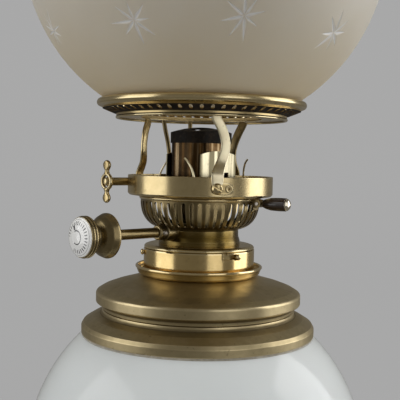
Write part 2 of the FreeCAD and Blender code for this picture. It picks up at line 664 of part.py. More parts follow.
def gallery_arm(lean):
    """One bent flat arm from the band up to the shade ring; lean shifts its upper end sideways."""
    t = ARM_THICKNESS
    face = BAND_RADIUS + t / 2
    stations = [
        (face, 0.0, BAND_TOP + 0.6, 6.4, t, 0), (38.9, 0.9, 273.2, 6.0, t, 12),
        (36.0, 3.0, 277.4, 5.3, t, 14), (34.4, 5.0, 282.6, 4.9, t, 6),
        (34.0, 5.4, 287.8, 4.8, t, 0), (34.4, 3.6, 294.0, 4.9, t, 0), (34.8, 0.8, 299.0, 5.0, t, 0),
        (35.0, 0.0, RING_FLANGE, 5.0, t, 0)]
    rise = RING_FLANGE - BAND_TOP
    leaned = []
    for radius, side, height, width, thick, tilt in stations:
        share = max(0.0, height - BAND_TOP) / rise
        leaned.append((radius, side * (1 if lean == 0 else 0.4) + lean * share, height, width, thick, tilt))
    tab = box(BAND_RADIUS, BAND_RADIUS + t, -3.2, 3.2, SCREW_HEIGHT, BAND_TOP + 0.6)
    return loft_strip(leaned).fuse([tab, arm_plate()])


def gallery_arms():
    """Three bent flat arms; the right-hand one at the back leans."""
    arms = [at_azimuth(gallery_arm(lean), a) for a, lean in zip(ARM_AZIMUTHS, ARM_LEANS)]
    return Part.makeCompound(arms)


def arm_screws():
    """Slotted round-head screws through the feet of the arms."""
    out = BAND_RADIUS + ARM_THICKNESS
    head = lathe_x([(out, 0), (out, 2.9), (out + 0.7, 2.9), ("arc", (out + 1.7, 1.9), (out + 2.1, 0.5)),
                    (out + 2.1, 0)], 0, SCREW_HEIGHT)
    slot = box(out + 1.1, out + 4, -0.45, 0.45, SCREW_HEIGHT - 7, SCREW_HEIGHT + 7)
    return repeat(head.cut(slot), ARM_AZIMUTHS)


def arm_rivets():
    """Peened rivets with a dimple, beside the screws."""
    out = BAND_RADIUS + ARM_PLATE - 0.3
    rivet = lathe_x([(out, 0), (out, 2.0), (out + 0.7, 1.9), ("arc", (out + 1.1, 1.6), (out + 0.9, 1.2)),
                     (out + 0.8, 0)], 0, SCREW_HEIGHT)
    beside = rivet.rotated(V(0, 0, 0), V(0, 0, 1), RIVET_OFFSET)
    beside = beside.cut(ring(0, BAND_RADIUS + ARM_PLATE, 255, 275))
    return repeat(beside, ARM_AZIMUTHS)


def rear_stays():
    """Two slim wires that brace the shade ring at the back."""
    lean = loft_wire(1.25, [(35.2, -5.0, FLOOR_TOP), (35.2, -5.0, 270.0), (35.0, -4.6, 280.0),
                            (35.0, -3.4, 288.0), (35.0, -1.2, 296.0), (35.0, 0.0, RING_FLANGE)])
    straight = loft_wire(1.25, [(35.2, 0.0, FLOOR_TOP), (35.0, 0.0, RING_FLANGE)])
    return Part.makeCompound([at_azimuth(straight, STAY_AZIMUTHS[0]), at_azimuth(lean, STAY_AZIMUTHS[1])])


def chimney_springs():
    """Three curved spring wires that grip the foot of a chimney."""
    wire = loft_wire(0.55, [(36.6, 0.0, FLOOR_TOP), (36.4, -0.2, 266.0), (35.6, -0.9, 270.0),
                            (34.4, -2.2, 274.0), (33.2, -4.2, 277.4), (32.9, -6.0, 279.4)])
    return repeat(wire, SPRING_AZIMUTHS)


def shade_ring():
    """Ring that carries the shade: rolled rim, pierced sloping skirt, lower rim and inner flange."""
    body = lathe([
        (CHIMNEY_HOLE, RING_FLANGE), (RING_INNER, RING_FLANGE), (RING_INNER, RING_BOTTOM + 0.3),
        (RING_INNER + 0.3, RING_BOTTOM), (46.5, RING_BOTTOM),
        ("arc", (47.1, RING_BOTTOM + 0.7), (46.4, 301.6)), (46.4, 303.0),
        ("arc", (46.9, 303.6), (47.4, 303.7)),
        (53.9, 306.4), ("arc", (57.1, 308.2), (54.9, 310.9)),
        ("arc", (53.5, 310.3), (52.8, 308.9)), (52.7, 307.0), (46.0, 304.4), (RING_INNER, 303.4),
        (RING_INNER, RING_FLANGE + 1.0), (CHIMNEY_HOLE, RING_FLANGE + 1.0)])
    slot = box(47.6, 52.6, -0.85, 0.85, 300, 312)
    step = 360.0 / SKIRT_SLOTS
    slots = Part.makeCompound([at_azimuth(slot, step * k) for k in range(SKIRT_SLOTS)])
    return body.cut(slots)


def shade():
    """Globe shade, open at both ends, with a short fitter that sits in the ring."""
    outer, inner = SHADE_RADIUS, SHADE_RADIUS - SHADE_WALL
    fitter_in = FITTER_RADIUS - SHADE_WALL
    join_out = height_at(outer, SHADE_CENTRE, FITTER_RADIUS, -1)
    join_in = height_at(inner, SHADE_CENTRE, fitter_in, -1)
    top_out = height_at(outer, SHADE_CENTRE, SHADE_MOUTH, 1)
    top_in = height_at(inner, SHADE_CENTRE, SHADE_MOUTH - 1.4, 1)
    return lathe([
        (fitter_in, FITTER_BOTTOM), (FITTER_RADIUS, FITTER_BOTTOM), (FITTER_RADIUS, join_out),
        ("arc", (outer, SHADE_CENTRE), (SHADE_MOUTH, top_out)),
        ("arc", (SHADE_MOUTH - 1.6, top_out + 0.2), (SHADE_MOUTH - 1.4, top_in)),
        ("arc", (inner, SHADE_CENTRE), (fitter_in, join_in))])


# ---------------------------------------------------------------- gallery key
def key_shaft():
    """Short shaft through the band, ending in a riveted button."""
    return along_key(rod_x(KEY_RADIUS, -8.4, 14.6))


def key_cam():
    """Eccentric that presses the foot of the chimney when the key is turned."""
    cam = rod_x(2.8, -8.0, -6.0, 0, 0.5).cut(rod_x(KEY_RADIUS, -9, 0))
    return along_key(cam)


def key_bow():
    """Pierced thumb-piece: a hub ring between two round lobes."""
    x0, x1 = 13.8, 16.0
    ring_part = rod_x(4.6, x0, x1)
    lobes = [Part.makeCylinder(3.2, x1 - x0, V(x0, 0, z), V(1, 0, 0)) for z in (-8.4, 8.4)]
    necks = [box(x0, x1, -1.6, 1.6, -8.4, 8.4)]
    bow = ring_part.fuse(lobes + necks).cut(rod_x(3.2, x0 + 0.9, x1 + 1))
    bow = bow.cut(rod_x(KEY_RADIUS, x0 - 1, x0 + 0.8))
    button = rod_x(2.0, x0 + 0.8, x1 + 0.3)
    return along_key(bow.fuse(button))


# ---------------------------------------------------------------- write every piece
PIECES = {
    "foot_felt": foot_felt, "foot": foot, "foot_weight": foot_weight, "foot_gasket": foot_gasket,
    "opal_body": opal_body, "rim_gasket": rim_gasket, "body_rim": body_rim,
    "reservoir_tank": reservoir_tank, "reservoir_cover": reservoir_cover, "drip_dish": drip_dish,
    "burner_collar": burner_collar,
    "burner_base": burner_base, "bayonet_studs": bayonet_studs, "tube_plate": tube_plate,
    "burner_neck": burner_neck, "air_basket": air_basket, "air_diffuser": air_diffuser,
    "front_wick_tube": lambda: wick_tube(1), "rear_wick_tube": lambda: wick_tube(-1),
    "front_wick": lambda: wick(1), "rear_wick": lambda: wick(-1),
    "flame_sleeve": flame_sleeve, "flame_cap": flame_cap, "draught_shields": draught_shields,
    "snuffer": snuffer,
    "front_winder_shaft": front_winder_shaft, "front_spur_wheels": front_spur_wheels,
    "front_knob": front_knob, "enamel_button": enamel_button,
    "rear_winder_tube": rear_winder_tube, "rear_driving_pinion": rear_driving_pinion,
    "rear_knob": rear_knob,
    "rear_spindle": rear_spindle, "rear_driven_pinion": rear_driven_pinion,
    "rear_spur_wheels": rear_spur_wheels,
    "spindle_brackets": spindle_brackets, "winder_gland": winder_gland, "gland_screw": gland_screw,
    "snuffer_lever": snuffer_lever, "lever_grip": lever_grip, "grip_cap": grip_cap,
    "lever_bracket": lever_bracket, "lever_pin": lever_pin,
    "gallery_band": gallery_band, "gallery_arms": gallery_arms, "arm_screws": arm_screws,
    "arm_rivets": arm_rivets, "rear_stays": rear_stays, "chimney_springs": chimney_springs,
    "shade_ring": shade_ring, "shade": shade,
    "key_shaft": key_shaft, "key_cam": key_cam, "key_bow": key_bow,
}


def main():
    os.makedirs("parts", exist_ok=True)
    for name, make in PIECES.items():
        shape = make()
        solids = shape.Solids
        if not solids or not all(s.isValid() and s.Volume > 0 for s in solids):
            raise ValueError(f"{name} is not a set of valid solids")
        Part.makeCompound(solids).exportStep(f"parts/{name}.step")
        print(f"{name}: {len(solids)} solid(s), {sum(s.Volume for s in solids):.1f} mm3")


main()
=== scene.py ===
import json
import math
import bmesh
import bpy
import numpy as np
from mathutils import Matrix, Vector


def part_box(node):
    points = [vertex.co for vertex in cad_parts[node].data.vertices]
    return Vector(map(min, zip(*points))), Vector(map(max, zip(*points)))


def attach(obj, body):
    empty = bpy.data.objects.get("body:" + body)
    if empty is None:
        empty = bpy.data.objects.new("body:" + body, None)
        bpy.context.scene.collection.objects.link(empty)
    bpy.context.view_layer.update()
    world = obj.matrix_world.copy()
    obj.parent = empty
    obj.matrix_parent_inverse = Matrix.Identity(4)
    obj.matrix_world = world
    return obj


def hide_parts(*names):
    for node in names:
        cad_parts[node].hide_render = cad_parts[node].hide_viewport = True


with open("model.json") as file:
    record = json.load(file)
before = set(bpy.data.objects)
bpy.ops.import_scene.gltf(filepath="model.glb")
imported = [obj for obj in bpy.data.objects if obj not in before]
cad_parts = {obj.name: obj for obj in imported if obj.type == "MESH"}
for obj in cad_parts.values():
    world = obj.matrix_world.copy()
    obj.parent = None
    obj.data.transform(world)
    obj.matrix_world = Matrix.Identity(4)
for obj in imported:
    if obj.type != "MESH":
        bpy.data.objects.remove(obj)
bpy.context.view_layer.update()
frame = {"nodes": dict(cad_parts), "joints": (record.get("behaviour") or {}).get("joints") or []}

nodes = frame["nodes"]
joints = {j["name"]: j for j in frame["joints"]}
mm = 0.001
tau = 2 * math.pi
print("frame loaded:", len(nodes), "CAD nodes")


# camera: level with the burner, tipped slightly down and rolled a little
viewpoint = {"distance": 0.42625, "height": 0.278, "down": 2.88, "roll": 1.16, "lens": 69.75}


def makeCamera():
    data = bpy.data.cameras.new("viewCamera")
    data.lens = viewpoint["lens"]
    data.sensor_width = 36
    data.clip_start = 0.01
    camera = bpy.data.objects.new("viewCamera", data)
    bpy.context.scene.collection.objects.link(camera)
    tip = Matrix.Rotation(math.radians(90 - viewpoint["down"]), 4, "X")
    roll = Matrix.Rotation(math.radians(viewpoint["roll"]), 4, "Z")
    place = Matrix.Translation((0, -viewpoint["distance"], viewpoint["height"]))
    camera.matrix_world = place @ tip @ roll
    bpy.context.scene.camera = camera


makeCamera()
print("camera ready")


# a socket that takes part in sums, products and powers
class Signal:
    def __init__(self, tree, socket):
        self.tree = tree
        self.socket = socket

    def maths(self, operation, first, second=None):
        n = self.tree.nodes.new("ShaderNodeMath")
        n.operation = operation
        for place, value in ((0, first), (1, second)):
            if isinstance(value, Signal):
                self.tree.links.new(value.socket, n.inputs[place])
            elif value is not None:
                n.inputs[place].default_value = value
        return Signal(self.tree, n.outputs[0])

    def __add__(self, other): return self.maths("ADD", self, other)
    def __radd__(self, other): return self.maths("ADD", other, self)
    def __sub__(self, other): return self.maths("SUBTRACT", self, other)
    def __rsub__(self, other): return self.maths("SUBTRACT", other, self)
    def __mul__(self, other): return self.maths("MULTIPLY", self, other)
    def __rmul__(self, other): return self.maths("MULTIPLY", other, self)
    def __truediv__(self, other): return self.maths("DIVIDE", self, other)
    def __pow__(self, other): return self.maths("POWER", self, other)
    def __abs__(self): return self.maths("ABSOLUTE", self)
    def below(self, limit): return self.maths("LESS_THAN", self, limit)
    def above(self, limit): return self.maths("GREATER_THAN", self, limit)
    def atLeast(self, limit): return self.maths("MAXIMUM", self, limit)
    def atMost(self, limit): return self.maths("MINIMUM", self, limit)
    def sine(self): return self.maths("SINE", self)
    def cosine(self): return self.maths("COSINE", self)
    def root(self): return self.maths("SQRT", self)


# one material: its Principled shader, and a single way to make every other node
class Finish:
    def __init__(self, name, **fixed):
        self.material = bpy.data.materials.new(name)
        self.material.use_nodes = True
        self.tree = self.material.node_tree
        self.shader = self.tree.nodes["Principled BSDF"]
        for socket, value in fixed.items():
            self.shader.inputs[socket.replace("_", " ")].default_value = value

    def node(self, kind, settings=None, sockets=None, out=0):
        n = self.tree.nodes.new(kind)
        for key, value in (settings or {}).items():
            if key == "stops":
                ramp = n.color_ramp.elements
                while len(ramp) < len(value):
                    ramp.new(0.5)
                for element, (place, colour) in zip(ramp, value):
                    element.position = place
                    element.color = (*colour, 1.0)
            else:
                setattr(n, key, value)
        for key, value in (sockets or {}).items():
            if isinstance(value, Signal):
                self.tree.links.new(value.socket, n.inputs[key])
            else:
                n.inputs[key].default_value = value
        return Signal(self.tree, n.outputs[out])

    def feed(self, socket, signal):
        self.tree.links.new(signal.socket, self.shader.inputs[socket])

    def place(self):
        return self.node("ShaderNodeTexCoord", out="Object")

    def value(self, name):
        return self.node("ShaderNodeAttribute", {"attribute_name": name}, out="Fac")

    def noise(self, where, scale, detail=3.0, roughness=0.55, distortion=0.0):
        sockets = {"Vector": where, "Scale": scale, "Detail": detail, "Roughness": roughness,
                   "Distortion": distortion}
        return self.node("ShaderNodeTexNoise", {}, sockets, out=0)

    def ramp(self, signal, stops):
        return self.node("ShaderNodeValToRGB", {"stops": stops}, {"Fac": signal})

    def grey(self, signal, low, high, darkest=0.0, lightest=1.0):
        sockets = {0: signal, 1: low, 2: high, 3: darkest, 4: lightest}
        return self.node("ShaderNodeMapRange", {"clamp": True}, sockets)

    def blend(self, share, first, second):
        first = (*first, 1.0) if isinstance(first, tuple) else first
        second = (*second, 1.0) if isinstance(second, tuple) else second
        sockets = {0: share, 6: first, 7: second}
        return self.node("ShaderNodeMix", {"data_type": "RGBA"}, sockets, out=2)

    def scaled(self, vector, factors):
        return self.node("ShaderNodeVectorMath", {"operation": "MULTIPLY"}, {0: vector, 1: factors})

    # how far a vector reaches along a direction
    def reach(self, vector, direction):
        sockets = {0: vector, 1: tuple(direction)}
        return self.node("ShaderNodeVectorMath", {"operation": "DOT_PRODUCT"}, sockets, out="Value")

    def parts(self, vector):
        split = self.tree.nodes.new("ShaderNodeSeparateXYZ")
        self.tree.links.new(vector.socket, split.inputs[0])
        return [Signal(self.tree, o) for o in split.outputs]

    def bump(self, height, strength, distance):
        return self.node("ShaderNodeBump", {}, {"Height": height, "Strength": strength, "Distance": distance})


# brass: a base tone, brighter on worn edges, darker in hollows and with painted shade where a piece's edge
# value is below zero, with soft stains, fine turning lines that run round each turned piece, and small scratches
brassLooks = {
    "satinBrass": {"tone": (0.450, 0.368, 0.208), "worn": (0.74, 0.62, 0.38), "dirtAndShade": (0.080, 0.058, 0.028),
                   "rough": 0.38, "stain": 0.40, "lines": 0.30},
    "bandBrass": {"tone": (0.560, 0.438, 0.220), "worn": (0.86, 0.74, 0.47), "dirtAndShade": (0.12, 0.082, 0.036),
                  "rough": 0.25, "stain": 0.40, "lines": 0.22},
    "brightBrass": {"tone": (0.680, 0.510, 0.235), "worn": (0.93, 0.79, 0.50), "dirtAndShade": (0.13, 0.088, 0.034),
                    "rough": 0.18, "stain": 0.40, "lines": 0.12},
    "armBrass": {"tone": (0.930, 0.820, 0.570), "worn": (0.98, 0.93, 0.76), "dirtAndShade": (0.22, 0.165, 0.090),
                 "rough": 0.33, "stain": 0.30, "lines": 0.10},
    "darkBrass": {"tone": (0.235, 0.180, 0.088), "worn": (0.62, 0.50, 0.28), "dirtAndShade": (0.028, 0.020, 0.010),
                  "rough": 0.30, "stain": 0.60, "lines": 0.20},
    # the neck's brass is darkened as painted shade under the basket's overhang
    "neckBrassPaintedShade": {"tone": (0.125, 0.082, 0.020), "worn": (0.50, 0.38, 0.16), "dirtAndShade": (0.030, 0.019, 0.006),
                  "rough": 0.27, "stain": 0.45, "lines": 0.20},
    "silverBrass": {"tone": (0.800, 0.720, 0.560), "worn": (0.95, 0.91, 0.80), "dirtAndShade": (0.16, 0.095, 0.055),
                    "rough": 0.13, "stain": 0.45, "lines": 0.10},
    "shieldBrass": {"tone": (0.440, 0.395, 0.270), "worn": (0.62, 0.56, 0.40), "dirtAndShade": (0.060, 0.048, 0.022),
                    "rough": 0.24, "stain": 0.40, "lines": 0.10, "streak": 0.85, "sootLow": 0.2835},
    "smokedBrass": {"tone": (0.085, 0.046, 0.016), "worn": (0.52, 0.40, 0.24), "dirtAndShade": (0.012, 0.008, 0.004),
                    "rough": 0.22, "stain": 0.50, "lines": 0.10, "streak": 0.75, "sootLow": 0.2925},
}
brassGrain = {"cloud": 28, "fine": 260, "speck": 620, "streak": (330, 330, 14), "turning": (900, 310),
              "scratch": (60, 900, 60), "soot": (0.010, 0.008, 0.006), "relief": 0.00008}


def makeBrass(name):
    look, grain = brassLooks[name], brassGrain
    f = Finish(name, Metallic=1.0)
    where = f.place()
    edge = f.value("edge")
    along = f.value("along")
    cloud = f.noise(where, grain["cloud"], 4, 0.6, 0.4)
    fine = f.noise(where, grain["fine"], 3, 0.6)
    stain = f.grey(cloud, 0.42, 0.68)
    speck = f.grey(f.noise(where, grain["speck"], 2, 0.5), 0.66, 0.74)
    tone = f.blend(stain * look["stain"], look["tone"], tuple(c * 0.62 for c in look["tone"]))
    tone = f.blend(f.grey(fine, 0.3, 0.8) * 0.25, tone, tuple(min(1.0, c * 1.25) for c in look["tone"]))
    rubbed = (edge + fine * 0.5 - 0.25).atLeast(0.0).atMost(1.0)
    # stains and hollows darken with grime, and an edge value below zero adds painted shade
    dirtAndShadeMask = (cloud * 0.6 - edge - 0.3).atLeast(0.0).atMost(1.0)
    tone = f.blend(rubbed * 0.75, tone, look["worn"])
    tone = f.blend(dirtAndShadeMask * 0.9, tone, look["dirtAndShade"])
    rough = f.grey(cloud, 0.3, 0.75, look["rough"] * 0.8, look["rough"] * 1.35)
    if "streak" in look:
        run = f.noise(f.scaled(where, grain["streak"]), 1.0, 3, 0.5)
        tone = f.blend(f.grey(run, 0.46, 0.60) * look["streak"], tone, look["dirtAndShade"])
        tone = f.blend(f.grey(run, 0.44, 0.34) * look["streak"] * 0.6, tone, look["worn"])
        smoke = f.grey(f.parts(where)[2] + (cloud - 0.5) * 0.010, look["sootLow"], look["sootLow"] + 0.0016)
        tone = f.blend(smoke * 0.93, tone, grain["soot"])
        rough = rough + smoke * 0.3
    f.feed("Base Color", f.blend(speck * 0.35, tone, look["dirtAndShade"]))
    f.feed("Roughness", rough - rubbed * 0.10 + dirtAndShadeMask * 0.25)
    closer, wider = grain["turning"]
    turning = f.noise(f.node("ShaderNodeCombineXYZ", {}, {0: along * closer, 1: along * wider}), 1.0, 2, 0.6)
    scratch = f.noise(f.scaled(where, grain["scratch"]), 1.0, 2, 0.5)
    relief = turning * look["lines"] + scratch * 0.06 + fine * 0.10
    f.feed("Normal", f.bump(relief, 0.35, grain["relief"]))
    return f.material


opalTone = {"thin": (0.655, 0.688, 0.688), "thick": (0.690, 0.718, 0.712), "cloud": 14, "ripple": 38}


# opal glass: white right through, faintly uneven in tone and surface
def makeOpalGlass():
    f = Finish("opalGlass", Roughness=0.12, Coat_Weight=0.15, Coat_Roughness=0.06, Subsurface_Weight=0.35,
               Subsurface_Scale=0.012)
    f.shader.inputs["Specular IOR Level"].default_value = 0.34
    f.shader.inputs["Subsurface Radius"].default_value = (1.0, 0.95, 0.9)
    where = f.place()
    cloud = f.noise(where, opalTone["cloud"], 3, 0.5)
    f.feed("Base Color", f.blend(f.grey(cloud, 0.3, 0.7), opalTone["thin"], opalTone["thick"]))
    f.feed("Normal", f.bump(f.noise(where, opalTone["ripple"], 2, 0.4), 0.05, 0.0006))
    return f.material


frostTone = {"low": (0.850, 0.800, 0.715), "high": (0.890, 0.845, 0.765), "cut": (1.0, 0.99, 0.97),
             "paintedBrassReflection": (0.530, 0.420, 0.260), "reflectionFullUpTo": 0.315, "reflectionGoneFrom": 0.425, "cloud": 16, "grain": 2600}


# frosted glass: a warm ground surface with a fine grain, a painted brown reflection of the brass low down, clear
# and smooth in the cuts
def makeFrostedGlass():
    f = Finish("frostedGlass", Subsurface_Weight=0.55, Subsurface_Scale=0.02, Transmission_Weight=0.08, IOR=1.45)
    f.shader.inputs["Subsurface Radius"].default_value = (1.0, 0.9, 0.78)
    where = f.place()
    cut = f.value("cut")
    tone = frostTone
    grain = f.noise(where, tone["grain"], 2, 0.7)
    cloud = f.noise(where, tone["cloud"], 3, 0.5)
    ground = f.blend(f.grey(cloud, 0.3, 0.7), tone["low"], tone["high"])
    # painted reflection: the glass turns browner low down, near the brass ring
    paintedReflectionShare = f.grey(f.parts(where)[2] + cloud * 0.03, tone["reflectionFullUpTo"], tone["reflectionGoneFrom"], 1.0, 0.0)
    ground = f.blend(paintedReflectionShare, ground, tone["paintedBrassReflection"])
    f.feed("Base Color", f.blend(cut, ground, tone["cut"]))
    f.feed("Roughness", f.grey(cut, 0.0, 1.0, 0.50, 0.14))
    f.feed("Normal", f.bump(grain * (1 - cut), 0.22, 0.00006))
    return f.material


# soot: near black and dull, with flakes where the metal shows brown
def makeSoot():
    f = Finish("sootedMetal", Metallic=0.3)
    f.shader.inputs["Specular IOR Level"].default_value = 0.25
    where = f.place()
    cloud = f.noise(where, 120, 4, 0.65)
    flakes = f.grey(f.noise(where, 420, 3, 0.6), 0.48, 0.66)
    dark = f.blend(f.grey(cloud, 0.35, 0.7), (0.006, 0.005, 0.004), (0.020, 0.014, 0.010))
    f.feed("Base Color", f.blend(flakes * 0.16, dark, (0.12, 0.08, 0.045)))
    f.feed("Roughness", f.grey(cloud, 0.3, 0.7, 0.60, 0.90))
    f.feed("Normal", f.bump(cloud + flakes * 0.4, 0.6, 0.00012))
    return f.material


# blackwood: dark with a long fine grain that runs along the lever
def makeBlackwood():
    f = Finish("blackwood", Coat_Weight=0.5, Coat_Roughness=0.12)
    where = f.place()
    out = leverOut()
    far = f.reach(where, out)
    left = f.reach(where, (-out.y, out.x, 0))
    high = f.parts(where)[2]
    grainPlace = f.node("ShaderNodeCombineXYZ", {}, {0: far * 45, 1: left * 900, 2: high * 900})
    grain = f.noise(grainPlace, 1.0, 4, 0.65, 0.6)
    f.feed("Base Color", f.ramp(grain, [(0.25, (0.006, 0.004, 0.003)), (0.55, (0.030, 0.016, 0.010)),
                                        (0.85, (0.085, 0.042, 0.022))]))
    f.feed("Roughness", f.grey(grain, 0.2, 0.8, 0.24, 0.42))
    f.feed("Normal", f.bump(grain, 0.3, 0.00008))
    return f.material


# plain finishes: one cloudy grain drives the colour, the roughness and, unless it has its own, the relief
plainLooks = {
    "dullSteel": {"fixed": {"Metallic": 1.0}, "grain": (240, 240, 240), "noise": (3, 0.6, 0.0),
                  "spread": (0.35, 0.7),
                  "colours": ((0.62, 0.58, 0.52), (0.36, 0.31, 0.26)), "rough": (0.22, 0.46), "ownRelief": 900,
                  "bump": (0.2, 0.00005)},
    "castIron": {"fixed": {"Metallic": 0.9}, "grain": (180, 180, 180), "noise": (4, 0.65, 0.0),
                 "spread": (0.3, 0.75),
                 "colours": ((0.045, 0.045, 0.048), (0.12, 0.075, 0.05)), "rough": (0.55, 0.8),
                 "bump": (0.6, 0.0004)},
    "greenFelt": {"fixed": {"Sheen_Weight": 0.5, "Sheen_Roughness": 0.5}, "grain": (1400, 1400, 2400),
                  "noise": (4, 0.7, 1.5), "spread": (0.3, 0.75),
                  "colours": ((0.018, 0.055, 0.030), (0.045, 0.105, 0.062)), "rough": (0.85, 1.0),
                  "bump": (0.8, 0.0003)},
    "lampCement": {"fixed": {}, "grain": (300, 300, 300), "noise": (4, 0.6, 0.0), "spread": (0.3, 0.7),
                   "colours": ((0.62, 0.58, 0.50), (0.40, 0.36, 0.29)), "rough": (0.75, 0.95),
                   "bump": (0.5, 0.0002)},
}


def makePlain(name):
    look = plainLooks[name]
    f = Finish(name, **look["fixed"])
    where = f.place()
    cloud = f.noise(f.scaled(where, look["grain"]), 1.0, *look["noise"])
    f.feed("Base Color", f.blend(f.grey(cloud, *look["spread"]), *look["colours"]))
    f.feed("Roughness", f.grey(cloud, 0.3, 0.7, *look["rough"]))
    relief = f.noise(where, look["ownRelief"], 2) if "ownRelief" in look else cloud
    f.feed("Normal", f.bump(relief, *look["bump"]))
    return f.material


cottonLook = {"warp": 0.0011, "weft": 0.0014, "charFrom": 0.2825, "charTo": 0.2862, "char": (0.022, 0.018, 0.015),
              "threads": ((0.44, 0.39, 0.31), (0.70, 0.66, 0.57))}


# cotton: crossed threads, worked out from sines along the strip's width and height, charred at the top
def makeCotton():
    f = Finish("wovenCotton", Sheen_Weight=0.3)
    where = f.place()
    c = cottonLook
    across = f.reach(where, joints["front_knob_turn"]["axis"])
    high = f.parts(where)[2]
    weave = (across * (tau / c["warp"])).sine() * (high * (tau / c["weft"])).sine() * 0.5 + 0.5
    charred = f.grey(high, c["charFrom"], c["charTo"])
    f.feed("Base Color", f.blend(charred, f.blend(weave, *c["threads"]), c["char"]))
    f.feed("Roughness", f.grey(weave, 0, 1, 0.85, 0.98))
    f.feed("Normal", f.bump(weave, 0.8, 0.0002))
    return f.material


enamelLook = {"white": ((0.95, 0.95, 0.94), (0.90, 0.90, 0.87)), "ink": (0.045, 0.045, 0.05), "ticks": 28,
              "tickRing": (0.0069, 0.0009), "arrowArc": (0.0033, 0.00032), "border": (0.0087, 0.00014),
              "arrowHead": (0.0024, 0.0031, 0.0013)}


# enamel: white, with a plain ring of divisions and a turning arrow fired into it. Each ring is where the
# distance from its radius is less than its half width
def makeEnamel():
    f = Finish("firedEnamel", Coat_Weight=0.7, Coat_Roughness=0.04)
    where = f.place()
    point, axis = winderLine()
    e = enamelLook
    shifted = f.node("ShaderNodeVectorMath", {"operation": "SUBTRACT"}, {0: where, 1: tuple(point)})
    left = f.reach(shifted, (-axis.y, axis.x, 0))
    high = f.parts(shifted)[2]
    radius = (left * left + high * high).root()
    turn = high.maths("ARCTAN2", high, left)
    ring, arc, line = (abs(radius - at).below(half) for at, half in (e["tickRing"], e["arrowArc"], e["border"]))
    aside, above, size = e["arrowHead"]
    head = (abs(left * 0.6 + high - above) + abs(left + aside)).below(size)
    ticks = ring * (turn * e["ticks"]).cosine().above(0.35) * turn.above(-2.1)
    ink = (ticks + arc * abs(turn).below(2.2) + head + line * 0.5).atMost(1.0)
    smear = f.noise(where, 900, 2)
    white = f.blend(f.grey(f.noise(where, 160, 3), 0.3, 0.7), *e["white"])
    f.feed("Base Color", f.blend(ink * f.grey(smear, 0.25, 0.5, 0.5, 0.95), white, e["ink"]))
    f.feed("Roughness", f.grey(smear, 0.3, 0.7, 0.10, 0.22))
    f.feed("Normal", f.bump(f.noise(where, 420, 2) - ink * 0.3, 0.10, 0.0001))
    return f.material


stageTone = {"front": 0.344, "back": 0.372, "from": 0.3, "to": 2.3, "matt": (0.040, 0.043)}


# the stage: pale and matt, with a little more glow towards the back, where less light falls
def makePaleStage():
    f = Finish("paleStage", Roughness=0.95, Emission_Strength=1.0)
    f.shader.inputs["Specular IOR Level"].default_value = 0.0
    where = f.place()
    f.feed("Base Color", f.blend(f.noise(where, 3, 2), *((c, c, c) for c in stageTone["matt"])))
    back = f.grey(f.parts(where)[1], stageTone["from"], stageTone["to"])
    f.feed("Emission Color", f.blend(back, (stageTone["front"],) * 3, (stageTone["back"],) * 3))
    return f.material


def winderLine():
    j = joints["front_knob_turn"]
    return Vector(j["pos_m"]), Vector(j["axis"]).normalized()


def leverOut():
    pivot = joints["snuffer_lever_tilt"]["pos_m"]
    return Vector((pivot[0], pivot[1], 0)).normalized()


looks = {name: makeBrass(name) for name in brassLooks}
looks.update({name: makePlain(name) for name in plainLooks})
looks.update(opalGlass=makeOpalGlass(), frostedGlass=makeFrostedGlass(), sootedMetal=makeSoot(),
             blackwood=makeBlackwood(), wovenCotton=makeCotton(), firedEnamel=makeEnamel(),
             paleStage=makePaleStage())
print("materials ready:", len(looks))


# a mesh from arrays: points, quads and end faces, with a value per point for worn edges, hollows and
# painted shade, and for the distance along the outline
def meshPiece(name, points, faces, look, edge=None, along=None, cut=None, caps=(), sharp=34, merge=True):
    mesh = bpy.data.meshes.new(name)
    mesh.from_pydata(np.asarray(points).tolist(), [], np.asarray(faces).tolist() + [list(c) for c in caps])
    for label, values in (("edge", edge), ("along", along), ("cut", cut)):
        data = np.zeros(len(points)) if values is None else np.asarray(values)
        mesh.attributes.new(label, "FLOAT", "POINT").data.foreach_set("value", data.astype(np.float32))
    if merge:
        b = bmesh.new()
        b.from_mesh(mesh)
        bmesh.ops.remove_doubles(b, verts=b.verts, dist=1e-7)
        bmesh.ops.recalc_face_normals(b, faces=b.faces)
        b.to_mesh(mesh)
        b.free()
    mesh.materials.append(looks[look])
    piece = bpy.data.objects.new(name, mesh)
    bpy.context.scene.collection.objects.link(piece)
    smoothen(piece, sharp)
    return piece


# smooth faces, with edges kept sharp where the surface bends by more than an angle
def smoothen(piece, sharp=34):
    piece.data.shade_smooth()
    piece.data.set_sharp_from_angle(angle=math.radians(sharp))


# the modifiers' result becomes the mesh
def settle(piece, sharp=34):
    bpy.context.view_layer.update()
    final = bpy.data.meshes.new_from_object(piece.evaluated_get(bpy.context.evaluated_depsgraph_get()))
    piece.modifiers.clear()
    piece.data = final
    b = bmesh.new()
    b.from_mesh(final)
    bmesh.ops.recalc_face_normals(b, faces=b.faces)
    b.to_mesh(final)
    b.free()
    smoothen(piece, sharp)


# a thin surface gets its wall inwards; its inner face can take the piece's second material
def thicken(piece, wall, bevel=0.0, inner=0):
    solid = piece.modifiers.new("wall", "SOLIDIFY")
    solid.thickness = wall
    solid.offset = -1.0
    solid.material_offset = inner
    solid.use_even_offset = True
    if bevel:
        soft = piece.modifiers.new("softEdge", "BEVEL")
        soft.width = bevel
        soft.segments = 2
        soft.limit_method = "ANGLE"
        soft.angle_limit = math.radians(50)
    settle(piece)


# a cutter is taken out of a piece and then removed
def bitten(piece, cutter, sharp=34):
    bite = piece.modifiers.new("bite", "BOOLEAN")
    bite.operation = "DIFFERENCE"
    bite.solver = "MANIFOLD"
    bite.object = cutter
    settle(piece, sharp)
    bpy.data.objects.remove(cutter)


# boxes across the lever's line: from one radius to another, half the width, and between two heights
leverNotch = {"basket": (28, 40, 2.6, 251, 260), "band": (25, 36.6, 3.2, 250, 262)}


